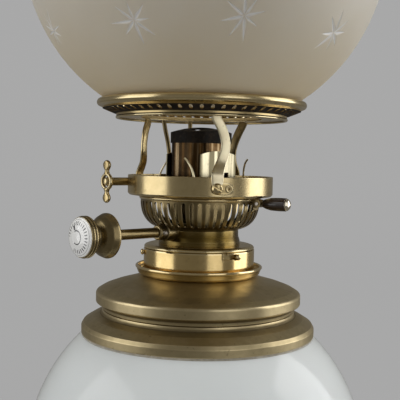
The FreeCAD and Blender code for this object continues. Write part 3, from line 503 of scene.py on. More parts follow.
# a piece with a notch that lets the snuffer lever through
def notched(piece, near, far, half, low, high):
    out = np.array(leverOut())
    side = np.array([-out[1], out[0], 0])
    plan = [(near, -half), (far, -half), (far, half), (near, half)]
    ring = np.array([x * out + y * side for x, y in plan])
    points = np.concatenate([ring + np.array([0, 0, z]) for z in (low, high)]) * mm
    cutter = meshPiece("notchCutter", points, gridFaces(2, 4), "darkBrass", caps=[(3, 2, 1, 0), (4, 5, 6, 7)])
    bitten(piece, cutter)
    return piece


# the quads of a grid of rows by columns, closed round in either direction where asked
def gridFaces(rows, columns, closeRows=False, closeColumns=True):
    i = np.arange(rows if closeRows else rows - 1)[:, None]
    j = np.arange(columns if closeColumns else columns - 1)[None, :]
    a = i * columns + j
    b = i * columns + (j + 1) % columns
    c = ((i + 1) % rows) * columns + (j + 1) % columns
    d = ((i + 1) % rows) * columns + j
    return np.stack([a, b, c, d], -1).reshape(-1, 4)


# a closed outline whose corners are rounded: each corner becomes a circular arc, written as a rational
# curve with the corner as its control point, and has one more point on each side to keep flats flat
def roundedOutline(corners, steps=5, guard=0.35):
    c = np.array([p[:2] for p in corners], float)
    rounding = np.array([p[2] if len(p) > 2 else 0.25 for p in corners], float)
    before, after = c - np.roll(c, 1, 0), np.roll(c, -1, 0) - c
    lb, la = np.linalg.norm(before, axis=1), np.linalg.norm(after, axis=1)
    db, da = before / lb[:, None], after / la[:, None]
    turn = np.arctan2(db[:, 0] * da[:, 1] - db[:, 1] * da[:, 0], (db * da).sum(1))
    reach = np.minimum(rounding * np.tan(np.abs(turn) / 2), 0.44 * np.minimum(lb, la))
    start, end = c - db * reach[:, None], c + da * reach[:, None]
    weight = np.cos(turn / 2)[:, None, None]
    s = np.linspace(0, 1, steps)[None, :, None]
    bottom = (1 - s) ** 2 + 2 * s * (1 - s) * weight + s ** 2
    arc = ((1 - s) ** 2 * start[:, None] + 2 * s * (1 - s) * weight * c[:, None] + s ** 2 * end[:, None]) / bottom
    lead = np.minimum(guard, 0.05 * np.minimum(lb, la))[:, None, None]
    outline = np.concatenate([arc[:, :1] - db[:, None] * lead, arc, arc[:, -1:] + da[:, None] * lead], 1)
    area = 0.5 * (c[:, 0] * np.roll(c[:, 1], -1) - c[:, 1] * np.roll(c[:, 0], -1)).sum()
    bend = np.sign(turn * area) * np.minimum(1, np.abs(turn) * 1.1) * np.exp(-rounding / 4)
    edge = np.repeat(bend[:, None], steps + 2, 1)
    edge[:, 0] *= 0.3
    edge[:, -1] *= 0.3
    return outline.reshape(-1, 2), edge.reshape(-1)


# an outline of (radius, distance) turned round an axis: point = axis point + distance along the axis
# + radius times a direction that goes round once in the given number of segments
def turned(name, outline, look, edge=None, segments=128, point=(0, 0, 0), axis=(0, 0, 1)):
    line = np.asarray(outline) * mm
    n = Vector(axis).normalized()
    first = n.orthogonal().normalized() if abs(n.z) < 0.9 else Vector((0, -1, 0))
    second = n.cross(first)
    angle = np.linspace(0, tau, segments, endpoint=False)
    around = np.cos(angle)[:, None] * np.array(first) + np.sin(angle)[:, None] * np.array(second)
    grid = np.array(point) + line[:, 1, None, None] * np.array(n) + line[:, 0, None, None] * around[None]
    step = np.linalg.norm(np.diff(line, axis=0, append=line[:1]), axis=1)
    along = np.repeat(np.cumsum(step), segments)
    worn = None if edge is None else np.repeat(edge, segments)
    faces = gridFaces(len(line), segments, closeRows=True)
    return meshPiece(name, grid.reshape(-1, 3), faces, look, worn, along)


# the same for a whole CAD node, with the outline stretched so that it fills the node's box exactly
def turnedNode(name, node, corners, look, body, slot, segments=128, steps=5):
    low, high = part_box(node)
    outline, edge = roundedOutline(corners, steps)
    tall = np.array([p[1] for p in corners])
    wide = max(p[0] for p in corners)
    outline[:, 0] *= high.x / mm / wide
    outline[:, 1] = low.z / mm + (outline[:, 1] - tall.min()) * ((high.z - low.z) / mm) / np.ptp(tall)
    piece = turned(name, outline, look, edge, segments)
    return finished(piece, body, slot, node)


# the body a piece rides on, its material slot (not used) and the CAD nodes it stands for
def finished(piece, body, slot, *replaced):
    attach(piece, body)
    if replaced:
        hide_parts(*replaced)
    return piece


# stand: turned foot, opal glass body and the brass rim on it
footLook = {"corners": [(78, 0, 0.6), (78, 4.0, 0.9), (76.8, 5.4, 0.8), (66, 8.6, 3), (53.4, 14.0, 9),
                        (49.3, 24.0, 11), (50.8, 32.0, 7), (62.8, 39.0, 1.4), (63.8, 40.3, 0.5), (63.8, 44.5, 0.5),
                        (52.4, 44.5, 0.2), (52.4, 52.4, 0.3), (50.6, 52.4, 0.3), (50.6, 42, 2), (46.4, 28, 6),
                        (46.6, 20, 6), (55, 9.4, 3), (64, 5.2, 1), (73.5, 3.6, 0.5), (73.5, 0, 0.3)]}
turnedNode("turnedFoot", "foot", footLook["corners"], "satinBrass", "stand", "brass_satin", 160, 7)

rimLook = {"corners": [(63.8, 7.3, 0.45), (63.8, 11.3, 0.8), (62.7, 13.2, 0.8), (57.9, 16.1, 2.0),
                       (53.0, 17.9, 1.6),
                       (52.6, 20, 0.4), (50.1, 20, 0.2), (50.1, 0, 0.2), (51.5, 0, 0.2), (51.5, 7.3, 0.2)]}
turnedNode("bodyRim", "body_rim", rimLook["corners"], "satinBrass", "stand", "brass_satin", 192, 7)

opalLook = {"wall": 4.0, "centre": 68.1, "rows": 72, "segments": 160}


# a ball's outline between two heights: radius = sqrt(ball radius squared - height from its centre squared)
def ballArc(radius, centre, low, high, rows):
    first, last = math.asin((low - centre) / radius), math.asin((high - centre) / radius)
    a = np.linspace(first, last, rows)
    return np.stack([radius * np.cos(a), centre + radius * np.sin(a)], 1)


def makeOpalBody():
    low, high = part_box("opal_body")
    ball = high.x / mm
    centre = low.z / mm + opalLook["centre"]
    outer = ballArc(ball, centre, low.z / mm, high.z / mm, opalLook["rows"])
    inner = ballArc(ball - opalLook["wall"], centre, low.z / mm, high.z / mm, opalLook["rows"])[::-1]
    piece = turned("opalBody", np.concatenate([outer, inner]), "opalGlass", segments=opalLook["segments"])
    finished(piece, "stand", "opal_glass", "opal_body")


makeOpalBody()
print("stand built")


# reservoir: cover with a heavy turned edge, saucer with a rolled lip, and the slotted collar
coverLook = {"corners": [(29.0, 26.8, 0.3), (31.4, 26.5, 1.0), (38.2, 24.0, 14), (47.0, 21.6, 14),
                         (52.4, 19.6, 3.5),
                         (56.1, 17.4, 1.6), (56.1, 12.0, 0.7), (54.2, 11.4, 1.0), (52.8, 10.4, 1.2),
                         (52.6, 8.3, 0.3),
                         (49.7, 8.3, 0.2), (49.7, 0, 0.3), (48.3, 0, 0.3), (48.3, 10, 1), (51.6, 13.5, 1),
                         (50.6, 18.4, 1), (36, 23, 2), (29.0, 24.8, 0.3)]}
turnedNode("steppedCover", "reservoir_cover", coverLook["corners"], "satinBrass", "reservoir", "brass_satin",
           192, 7)

dishLook = {"corners": [(30.4, 0, 0.1), (31.6, 0, 0.6), (33.3, 1.2, 1.2), (34.2, 3.6, 1.2), (34.75, 4.1, 0.5),
                        (34.75, 5.0, 0.45), (34.0, 5.45, 0.45), (33.3, 5.0, 0.4), (33.1, 3.8, 0.9),
                        (32.4, 2.0, 1.0),
                        (31.0, 1.0, 0.4), (30.4, 1.0, 0.1)]}
turnedNode("dripDish", "drip_dish", dishLook["corners"], "brightBrass", "reservoir", "brass_satin", 128)


# a wall round the axis with openings: heights and angles are cut at each opening's edges, and the faces
# inside an opening are left out before the wall gets its thickness
def piercedWall(name, radius, low, high, openings, wall, look, rows=10, segments=144, bevel=0.00012):
    angles = np.linspace(0, 360, segments, endpoint=False)
    heights = np.linspace(low, high, rows)
    for a0, a1, z0, z1 in openings:
        angles = np.union1d(angles, np.array([a0, a1]) % 360)
        heights = np.union1d(heights, np.clip([z0, z1], low, high))
    angles = angles[np.append(True, np.diff(angles) > 0.05)]
    a = np.radians(angles)
    ring = np.stack([np.sin(a), -np.cos(a)], 1) * radius
    points = np.zeros((len(heights), len(angles), 3))
    points[:, :, :2] = ring[None]
    points[:, :, 2] = heights[:, None]
    faces = gridFaces(len(heights), len(angles))
    midA = ((angles + np.roll(angles, -1) + np.append(np.zeros(len(angles) - 1), 360)) / 2)[None, :]
    midZ = ((heights[:-1] + heights[1:]) / 2)[:, None]
    gone = np.zeros((len(heights) - 1, len(angles)), bool)
    for a0, a1, z0, z1 in openings:
        gone |= ((midA - a0) % 360 < (a1 - a0)) & (midZ > z0) & (midZ < z1)
    points = points.reshape(-1, 3) * mm
    edge = np.where((points[:, 2] > (high - 0.01) * mm) | (points[:, 2] < (low + 0.01) * mm), 0.9, 0.0)
    piece = meshPiece(name, points, faces[~gone.reshape(-1)], look, edge, points[:, 2])
    thicken(piece, wall * mm, bevel)
    return piece


collarLook = {"wall": 1.3, "studAzimuths": (41, 161, 281), "turn": 14, "half": 2.3, "entryHalf": 2.45,
              "runLow": 11.1, "runHigh": 13.55}


def makeCollar():
    low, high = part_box("burner_collar")
    base, top = low.z / mm, high.z / mm
    c = collarLook
    openings = []
    for azimuth in c["studAzimuths"]:
        entry = azimuth - c["turn"]
        openings.append((entry - c["half"], azimuth + c["half"], base + c["runLow"], base + c["runHigh"]))
        openings.append((entry - c["entryHalf"], entry + c["entryHalf"], base + c["runLow"], top + 1))
    piece = piercedWall("bayonetCollar", high.x / mm, base, top, openings, c["wall"], "brightBrass")
    finished(piece, "reservoir", "brass_bright", "burner_collar")


makeCollar()
print("reservoir built")


# burner: flange and skirt, neck, pierced basket
baseLook = {"corners": [(20.6, 11.4, 0.1), (27.9, 11.4, 0.2), (27.9, 0, 0.2), (28.9, 0, 0.3), (28.9, 11.4, 0.2),
                        (29.9, 11.4, 0.4), (30.35, 12.2, 0.6), (29.6, 13.1, 0.9), (28.2, 13.6, 1.0),
                        (20.6, 13.6, 0.3)]}
turnedNode("burnerFlange", "burner_base", baseLook["corners"], "bandBrass", "burner", "brass_satin", 128, 6)

neckLook = {"corners": [(20.6, 0, 0.1), (22.3, 0, 0.2), (22.3, 2.4, 0.5), (21.5, 4.6, 1.5), (21.35, 8.5, 0.4),
                        (20.3, 8.5, 0.2), (20.6, 3.2, 0.5)]}
turnedNode("burnerNeck", "burner_neck", neckLook["corners"], "neckBrassPaintedShade", "burner", "brass_dark", 128)

basketLook = {"slots": 48, "slotWidth": 2.1, "slotLow": 1.7, "slotHigh": 15.2, "wall": 1.0,
              "notch": {"azimuth": 60, "half": 5.5, "above": 10.0},
              "bead": [(31.5, 15.9, 0.2), (32.75, 15.9, 0.5), (33.4, 16.5, 0.5), (33.4, 17.2, 0.5),
                       (32.6, 17.5, 0.3),
                       (31.5, 17.5, 0.2)],
              "outline": [(21.4, 0), (23.2, 0.5), (25.3, 1.3), (27.2, 2.4), (28.8, 3.8), (30.1, 5.5), (31.2, 7.4),
                          (31.9, 9.4), (32.35, 11.4), (32.6, 13.6), (32.6, 15.7), (32.6, 16.4)]}


# a shell of revolution with a row of round-ended slots. The outline runs upwards. Round the axis each
# slot has its own columns, and the rows above and below bend to the slot's ends, whose height is
# the slot's limit plus or minus the root of (half width squared minus distance from its middle squared)
def slottedShell(name, outline, base, count, width, low, high, wall, look, keep=None):
    line = np.array(outline, float)
    fine = np.linspace(0, 1, 60)
    share = np.concatenate([[0], np.cumsum(np.linalg.norm(np.diff(line, axis=0), axis=1))])
    share /= share[-1]
    radii = np.interp(fine, share, line[:, 0])
    rise = np.interp(fine, share, line[:, 1])
    middle = np.interp((low + high) / 2, rise, radii)
    half = width / 2
    slotColumns = np.array([-1, -0.85, -0.5, 0, 0.5, 0.85, 1.0]) * half
    pitch = tau * middle / count
    ribColumns = np.linspace(half, pitch - half, 5)[1:-1]
    u = np.concatenate([slotColumns, ribColumns])
    inSlot = np.abs(u) <= half + 1e-6
    dip = np.where(inSlot, half - np.sqrt(np.maximum(half ** 2 - np.minimum(np.abs(u), half) ** 2, 0)), half)
    columns = (u[None, :] + pitch * np.arange(count)[:, None]).reshape(-1)
    slotDip = np.tile(dip, count)
    angle = columns / middle
    bottom, top = low + slotDip, high - slotDip
    below = np.linspace(0, 1, 8)[:, None] * (bottom - line[0, 1])[None] + line[0, 1]
    inside = np.linspace(0, 1, 10)[1:, None] * (top - bottom)[None] + bottom
    above = np.linspace(0, 1, 6)[1:, None] * (line[-1, 1] - top)[None] + top
    z = np.concatenate([below, inside, above])
    first, last = len(below) - 1, len(below) - 1 + len(inside)
    r = np.interp(z, line[:, 1], line[:, 0])
    points = np.stack([r * np.sin(angle), -r * np.cos(angle), base + z], -1)
    rows, cols = z.shape
    faces = gridFaces(rows, cols)
    n = len(u)
    column = np.tile(np.arange(cols), rows - 1)
    row = np.repeat(np.arange(rows - 1), cols)
    gone = (column % n < len(slotColumns) - 1) & (row >= first) & (row < last)
    if keep is not None:
        mid = np.degrees((angle + np.roll(angle, -1)) / 2)[column]
        gone |= ~keep(mid, (z[row, column] + z[row + 1, column]) / 2)
    rim = np.tile(np.where(np.abs(np.abs(u) - half) < 1e-6, 0.75, 0.0), count)
    edge = np.zeros(z.shape)
    edge[first:last + 1] = rim
    for end in (first, last):
        edge[end] = np.where(np.tile(inSlot, count), 0.75, edge[end])
    along = np.repeat(z[:, :1], cols, 1) * mm
    piece = meshPiece(name, points.reshape(-1, 3) * mm, faces[~gone], look, edge.reshape(-1), along.reshape(-1))
    piece.data.materials.append(looks["sootedMetal"])
    thicken(piece, wall * mm, inner=1)
    return piece


def makeBasket():
    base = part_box("air_basket")[0].z / mm
    b, gap = basketLook, basketLook["notch"]

    def outsideNotch(angle, z):
        return (np.abs((angle - gap["azimuth"] + 180) % 360 - 180) >= gap["half"]) | (z <= gap["above"])

    shell = slottedShell("airBasket", b["outline"], base, b["slots"], b["slotWidth"], b["slotLow"], b["slotHigh"],
                         b["wall"], "darkBrass", outsideNotch)
    finished(shell, "burner", "brass_dark", "air_basket")
    bead, worn = roundedOutline(b["bead"])
    bead[:, 1] += base
    rim = notched(turned("basketBead", bead, "bandBrass", worn), *leverNotch["basket"])
    finished(rim, "burner", "brass_dark")


makeBasket()


# gallery: the band, its arms, screws and rivets, stays and springs
bandLook = {"corners": [(31.0, 0, 0.2), (34.0, 0, 1.0), (38.7, 0.6, 0.7), (39.7, 1.6, 0.7), (39.7, 11.1, 0.35),
                        (39.4, 11.4, 0.25), (38.5, 11.4, 0.25), (38.5, 1.9, 0.4), (33.4, 1.9, 0.2),
                        (33.4, 2.4, 0.15), (31.0, 2.4, 0.15)]}
band = turnedNode("galleryBand", "gallery_band", bandLook["corners"], "bandBrass", "burner", "brass_satin", 160, 6)
notched(band, *leverNotch["band"])


# a smooth line through given points: each stretch is a cubic whose end slopes are half the step between
# the points on either side
def smoothPath(points, count):
    p = np.array(points, float)
    p = np.concatenate([2 * p[:1] - p[1:2], p, 2 * p[-1:] - p[-2:-1]])
    t = np.linspace(0, len(p) - 3, count)
    i = np.minimum(t.astype(int), len(p) - 4)
    s = (t - i)[:, None]
    a, b, c, d = p[i], p[i + 1], p[i + 2], p[i + 3]
    return 0.5 * (2 * b + (c - a) * s + (2 * a - 5 * b + 4 * c - d) * s ** 2 + (3 * b - a - 3 * c + d) * s ** 3)


# a rounded oblong section: a superellipse, width and thickness raised to the same power
def oblong(sides=16, power=4.0):
    a = np.linspace(0, tau, sides, endpoint=False)
    c, s = np.cos(a), np.sin(a)
    return np.sign(c) * np.abs(c) ** (2 / power), np.sign(s) * np.abs(s) ** (2 / power)


# a strip along a line: at each point the section is spread along a sideways direction and the normal
def strip(name, centre, sideways, widths, thicknesses, look, sides=16, power=4.0):
    centre, sideways = np.asarray(centre, float), np.asarray(sideways, float)
    ahead = np.gradient(centre, axis=0)
    ahead /= np.linalg.norm(ahead, axis=1)[:, None]
    sideways = sideways - (sideways * ahead).sum(1)[:, None] * ahead
    sideways /= np.linalg.norm(sideways, axis=1)[:, None]
    normal = np.cross(ahead, sideways)
    x, y = oblong(sides, power)
    w = np.asarray(widths)[:, None, None] / 2
    t = np.asarray(thicknesses)[:, None, None] / 2
    grid = centre[:, None] + w * x[None, :, None] * sideways[:, None] + t * y[None, :, None] * normal[:, None]
    rows = len(centre)
    caps = [range(sides - 1, -1, -1), range((rows - 1) * sides, rows * sides)]
    edge = np.tile(np.where(np.abs(x) > 0.93, 0.6, 0.0), rows)
    along = np.repeat(np.arange(rows) * 0.0004, sides)
    return meshPiece(name, grid.reshape(-1, 3) * mm, gridFaces(rows, sides), look, edge, along, caps=caps, sharp=50)


def joined(name, pieces):
    first = pieces[0]
    with bpy.context.temp_override(active_object=first, object=first, selected_editable_objects=pieces,
                                   selected_objects=pieces):
        bpy.ops.object.join()
    first.name = name
    first.data.name = name
    return first


# the outward and the sideways direction at an azimuth; 0 is the front and 90 the right
def azimuthFrame(azimuth):
    a = math.radians(azimuth)
    return np.array([math.sin(a), -math.cos(a), 0.0]), np.array([math.cos(a), math.sin(a), 0.0])


# the three arms are one brass; the leaning one takes darkBrass as painted shade
armLook = {"azimuths": (12, 150, 240), "leans": (0, -8.2, 0), "looks": ("armBrass", "darkBrass", "bandBrass"),
           "thick": 1.5, "bandTop": 270.0, "ringUnder": 301.2, "leaningBend": 0.4,
           "plate": {"radius": 39.7, "height": 264.2, "half": 5.8, "tall": 3.2, "thick": 1.3, "turn": 4.3,
                     "shrink": (1.0, 1.0, 0.97, 0.90, 0.75, 0.5, 0.25, 0.02),
                     "rise": (0.0, 0.72, 0.93, 1.0, 1.0, 1.0, 1.0, 1.0),
                     "worn": (-1.6, -1.0, 0.5, 0.7, 0.1, -0.3, -0.3, 0)},
           "stations": [(40.45, 0, 264.4, 4.6), (40.45, 0, 267.4, 5.9), (40.4, 0.1, 270.6, 6.3),
                        (38.9, 0.9, 273.2, 6.0), (36.0, 3.0, 277.4, 5.3), (34.4, 5.0, 282.6, 4.9),
                        (34.0, 5.4, 287.8, 4.8), (34.4, 3.6, 294.0, 4.9), (34.8, 0.8, 299.0, 5.0),
                        (35.0, 0, 301.2, 5.0)]}


# an oval plate bent to the band: rings of an oval outline shrink towards its middle, and every point is
# wrapped round the axis, angle = distance along the band divided by its radius
def ovalPlate(name, azimuth, shape):
    x, y = oblong(40, 2.6)
    shrink = np.array(shape["shrink"])
    rise = np.array(shape["rise"]) * shape["thick"]
    along = shrink[:, None] * x[None] * shape["half"]
    high = shrink[:, None] * y[None] * shape["tall"] + shape["height"]
    angle = math.radians(azimuth) + along / shape["radius"]
    radius = shape["radius"] + rise[:, None]
    grid = np.stack([radius * np.sin(angle), -radius * np.cos(angle), high], -1)
    rows, sides = along.shape
    caps = [range(sides - 1, -1, -1), range((rows - 1) * sides, rows * sides)]
    # the plate's "worn" values: above zero a worn rim, below zero painted shade round its foot and in its middle
    # under the arm
    edge = np.repeat(shape["worn"], sides)
    return meshPiece(name, grid.reshape(-1, 3) * mm, gridFaces(rows, sides), "bandBrass", edge, caps=caps)


# each arm follows the stations (radius, sideways, height, width); a leaning one drifts sideways as it rises
def makeArms():
    a = armLook
    path = smoothPath(a["stations"], 56)
    rise = np.clip((path[:, 2] - a["bandTop"]) / (a["ringUnder"] - a["bandTop"]), 0, 1)
    arms = []
    for k, (azimuth, lean, look) in enumerate(zip(a["azimuths"], a["leans"], a["looks"])):
        out, side = azimuthFrame(azimuth)
        aside = path[:, 1] * (1 if lean == 0 else a["leaningBend"]) + lean * rise
        centre = path[:, 0, None] * out + aside[:, None] * side + path[:, 2, None] * np.array([0, 0, 1.0])
        sideways = np.repeat(side[None], len(path), 0)
        thick = np.full(len(path), a["thick"])
        arms.append(strip(f"arm{k}", centre, sideways, path[:, 3], thick, look, 20, 5.0))
        arms.append(ovalPlate(f"armFoot{k}", azimuth + a["plate"]["turn"], a["plate"]))
    finished(joined("galleryArms", arms), "burner", "brass_bright", "gallery_arms")


makeArms()


# round wires that follow a smooth line through (radius, sideways, height) stations
def wirePiece(name, radius, azimuth, stations, look, count=40):
    path = smoothPath(stations, count)
    out, side = azimuthFrame(azimuth)
    centre = path[:, 0, None] * out + path[:, 1, None] * side + path[:, 2, None] * np.array([0, 0, 1.0])
    size = np.full(count, 2 * radius)
    return strip(name, centre, np.repeat(side[None], count, 0), size, size, look, 12, 2.0)


stayLook = {"radius": 1.25, "straight": (191,
                                         [(35.2, 0, 260.4), (35.15, 0, 275), (35.0, 0, 290), (35.0, 0, 301.3)]),
            "leaning": (219, [(35.2, -5, 260.4), (35.2, -5, 270), (35.0, -4.6, 280), (35.0, -3.4, 288),
                              (35.0, -1.2, 296), (35.0, 0, 301.3)])}
stays = [wirePiece(k, stayLook["radius"], *stayLook[k], "darkBrass") for k in ("straight", "leaning")]
finished(joined("rearStays", stays), "burner", "brass_dark", "rear_stays")

springLook = {"azimuths": (356, 137, 223), "radius": 0.55,
              "stations": [(36.6, 0, 260.4), (36.4, -0.2, 266), (35.6, -0.9, 270), (34.4, -2.2, 274),
                           (33.2, -4.2, 277.4), (32.9, -6, 279.4)]}
springs = [wirePiece(f"spring{a}", springLook["radius"], a, springLook["stations"], "armBrass")
           for a in springLook["azimuths"]]
finished(joined("chimneySprings", springs), "burner", "brass_bright", "chimney_springs")

studLook = {"azimuths": (41, 161, 281), "height": 228.1, "segments": 40,
            "corners": [(0.01, 27.1, 0), (1.1, 27.1, 0.1), (1.1, 30.85, 0.1), (1.6, 30.85, 0.15), (1.6, 31.5, 0.3),
                        (1.2, 32.2, 0.6), (0.01, 32.5, 0)]}
screwLook = {"azimuths": armLook["azimuths"], "height": 264.2, "segments": 96, "rows": 90, "paintedShadeUnder": 41.7,
             "corners": [(0.01, 41.1, 0), (2.85, 41.1, 0.05), (2.9, 41.9, 0.4), (2.2, 42.75, 0.9),
                         (0.8, 43.25, 1.2),
                         (0.01, 43.3, 0)],
             "slot": {"half": 0.42, "tilt": 62, "turn": 25, "floor": 42.2, "soft": 0.14}}
rivetLook = {"azimuths": [a + 8.6 for a in armLook["azimuths"]], "height": 264.2, "segments": 40, "paintedShadeUnder": 41.3,
             "paintedShadeWithin": 1.0,
             "corners": [(0.01, 40.85, 0), (2.0, 40.85, 0.05), (1.95, 41.5, 0.3), (1.6, 41.8, 0.3),
                         (1.15, 41.55, 0.3),
                         (0.01, 41.5, 0)]}
# how strongly painted shade darkens the heads' feet and hollows
headPaintedShade = 1.6


# small heads turned about lines that point outwards, with painted shade round their feet and in their hollows
def headsRound(look, finish, steps):
    heads = []
    for azimuth in look["azimuths"]:
        outline, edge = roundedOutline(look["corners"], steps)
        if "rows" in look:
            dense, base = np.linspace(0, len(outline) - 1, look["rows"]), np.arange(len(outline))
            edge = np.interp(dense, base, edge)
            outline = np.stack([np.interp(dense, base, outline[:, 0]), np.interp(dense, base, outline[:, 1])], 1)
        inPaintedShade = (outline[:, 1] < look.get("paintedShadeUnder", 0)) | (outline[:, 0] < look.get("paintedShadeWithin", 0))
        out, point = azimuthFrame(azimuth)[0], (0, 0, look["height"] * mm)
        heads.append(turned("head", outline, finish, edge - headPaintedShade * inPaintedShade, look["segments"], point, out))
    return heads


# a driver's slot: points near a straight line across the head are pushed in to the slot's floor
def slotHead(head, azimuth, tilt):
    slot = screwLook["slot"]
    out, side = azimuthFrame(azimuth)
    co = np.zeros(len(head.data.vertices) * 3)
    head.data.vertices.foreach_get("co", co)
    co = co.reshape(-1, 3)
    across = (co @ side / mm) * math.cos(tilt) + (co[:, 2] / mm - screwLook["height"]) * math.sin(tilt)
    share = np.clip((slot["half"] - np.abs(across)) / slot["soft"] + 0.5, 0, 1)
    deep = share * np.maximum(co @ out / mm - slot["floor"], 0)
    co -= deep[:, None] * out * mm
    head.data.vertices.foreach_set("co", co.reshape(-1))
    smoothen(head, 30)


def makeFasteners():
    studs = headsRound(studLook, "brightBrass", 5)
    finished(joined("bayonetStuds", studs), "burner", "brass_bright", "bayonet_studs")
    screws = headsRound(screwLook, "bandBrass", 5)
    for k, (screw, azimuth) in enumerate(zip(screws, screwLook["azimuths"])):
        slotHead(screw, azimuth, math.radians(screwLook["slot"]["tilt"] + screwLook["slot"]["turn"] * k))
    finished(joined("armScrews", screws), "burner", "brass_dark", "arm_screws")
    rivets = headsRound(rivetLook, "bandBrass", 4)
    finished(joined("armRivets", rivets), "burner", "brass_satin", "arm_rivets")


makeFasteners()
print("burner shell and gallery built")


# shade ring: rolled rim, slotted skirt, lower lip with its inner flange
ringLook = {"slots": 60, "slotWidth": 1.9, "slotLow": 3.85, "slotHigh": 5.75, "wall": 0.8,
            "rim": [(53.2, 5.9, 0.2), (54.0, 5.9, 0.3), (56.5, 6.9, 1.2), (57.15, 8.3, 1.3), (56.6, 9.9, 1.2),
                    (55.0, 10.75, 0.8), (53.9, 10.3, 0.5), (52.9, 8.8, 0.5), (52.8, 6.8, 0.3)],
            "skirt": [(46.5, 3.3), (48.0, 3.75), (50.0, 4.55), (52.0, 5.35), (53.7, 6.05)],
            "foot": [(33.2, 1.0, 0.2), (45.3, 1.0, 0.2), (45.3, 0.3, 0.1), (45.6, 0, 0.2), (46.6, 0, 0.35),
                     (47.0, 0.7, 0.5), (46.55, 1.5, 0.5), (46.5, 3.0, 0.3), (47.2, 3.6, 0.3), (46.9, 4.1, 0.2),
                     (45.9, 3.9, 0.3), (45.4, 3.0, 0.3), (45.3, 2.0, 0.2), (33.2, 2.0, 0.2)]}


def makeShadeRing():
    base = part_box("shade_ring")[0].z / mm
    r = ringLook
    for name, corners in (("ringRim", r["rim"]), ("ringFoot", r["foot"])):
        outline, edge = roundedOutline(corners, 6)
        outline[:, 1] += base
        finished(turned(name, outline, "bandBrass", edge, 192), "burner", "brass_satin", "shade_ring")
    skirt = slottedShell("ringSkirt", r["skirt"], base, r["slots"], r["slotWidth"], r["slotLow"], r["slotHigh"],
                         r["wall"], "bandBrass")
    finished(skirt, "burner", "brass_satin")


makeShadeRing()

globeLook = {"wall": 2.6, "rows": 150, "segments": 224, "fitter": 50.3, "mouth": 46.0,
             "stars": (-65.9, -22.6, 12.6, 50.0, 90.7, 131.4, 172.1, 212.8, 253.5),
             "lift": (-31.6, -32.6, -31.2, -32.6), "tilt": 10, "tiltSpread": 7,
             "rays": 8, "rayLength": 13.8, "rayWidth": 2.5, "rayDepth": 0.85}


# one cut is a thin wedge that crosses a star's middle: a spindle with a point at each end, a ridge
# below the glass and an open top above it
def wedge(centre, outward, direction, back, ahead, width, depth, ball, rise=1.2):
    side = np.cross(outward, direction)
    s = np.linspace(0, 1, 15)
    t = -back + s * (back + ahead)
    swell = np.sin(np.pi * s) ** 0.6
    curve = -(t ** 2) / (2 * ball)
    middle = centre + t[:, None] * direction + curve[:, None] * outward
    w = (0.5 * width * swell + 0.01)[:, None] * (1 + rise / depth)
    keel = middle - (depth * swell)[:, None] * outward
    top = middle + rise * outward
    ring = np.stack([keel, top + w * side, top - w * side], 1)
    count = len(s)
    caps = [(0, 2, 1), ((count - 1) * 3, (count - 1) * 3 + 1, (count - 1) * 3 + 2)]
    return ring.reshape(-1, 3), gridFaces(count, 3), caps


# the globe: outer ball, ground lip, inner ball and fitter, turned as one outline; then each pass of the
# loop cuts one ray of every star
def makeGlobe():
    g = globeLook
    low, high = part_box("shade")
    ball = high.x / mm
    centre = high.z / mm - math.sqrt(ball ** 2 - g["mouth"] ** 2)
    base = low.z / mm
    joint = centre - math.sqrt(ball ** 2 - g["fitter"] ** 2)
    outer = ballArc(ball, centre, joint, high.z / mm - 0.2, g["rows"])
    lowest = centre - math.sqrt((ball - g["wall"]) ** 2 - (g["fitter"] - g["wall"]) ** 2)
    inner = ballArc(ball - g["wall"], centre, lowest, high.z / mm - 0.9, 60)[::-1]
    lip = np.array([(g["mouth"] - 0.35, high.z / mm), (g["mouth"] - 1.1, high.z / mm)])
    foot = np.array([(g["fitter"] - g["wall"], base + 0.4), (g["fitter"] - g["wall"] + 0.4, base),
                     (g["fitter"] - 0.4, base), (g["fitter"], base + 0.4)])
    outline = np.concatenate([foot, outer, lip, inner])
    globe = turned("frostedGlobe", outline, "frostedGlass", segments=g["segments"])
    rng = np.random.default_rng(11)
    for k in range(g["rays"] // 2):
        points, faces, caps = [], [], []
        for i, azimuth in enumerate(g["stars"]):
            lift = math.radians(g["lift"][i % 4])
            out, side = azimuthFrame(azimuth)
            outward = out * math.cos(lift) + np.array([0, 0, math.sin(lift)])
            up = np.cross(outward, side)
            up = up if up[2] > 0 else -up
            drift = rng.uniform(-g["tiltSpread"], g["tiltSpread"])
            turn = math.radians(180 * k / (g["rays"] // 2) + g["tilt"] + drift)
            direction = side * math.cos(turn) + up * math.sin(turn)
            spot = np.array([0, 0, centre]) + outward * ball
            back, ahead = g["rayLength"] * rng.uniform(0.62, 1.0, 2)
            width = g["rayWidth"] * rng.uniform(0.8, 1.15)
            ring, quads, ends = wedge(spot, outward, direction, back, ahead, width, g["rayDepth"], ball)
            offset = sum(len(p) for p in points)
            points.append(ring)
            faces.append(quads + offset)
            caps += [tuple(c + offset for c in e) for e in ends]
        points = np.concatenate(points) * mm
        cut = np.ones(len(points))
        cutter = meshPiece("cutter", points, np.concatenate(faces), "frostedGlass", cut=cut, caps=caps)
        bitten(globe, cutter, 24)
    finished(globe, "globe", "frosted_glass", "shade")
    print("globe faces:", len(globe.data.polygons))


makeGlobe()
print("shade and ring built")


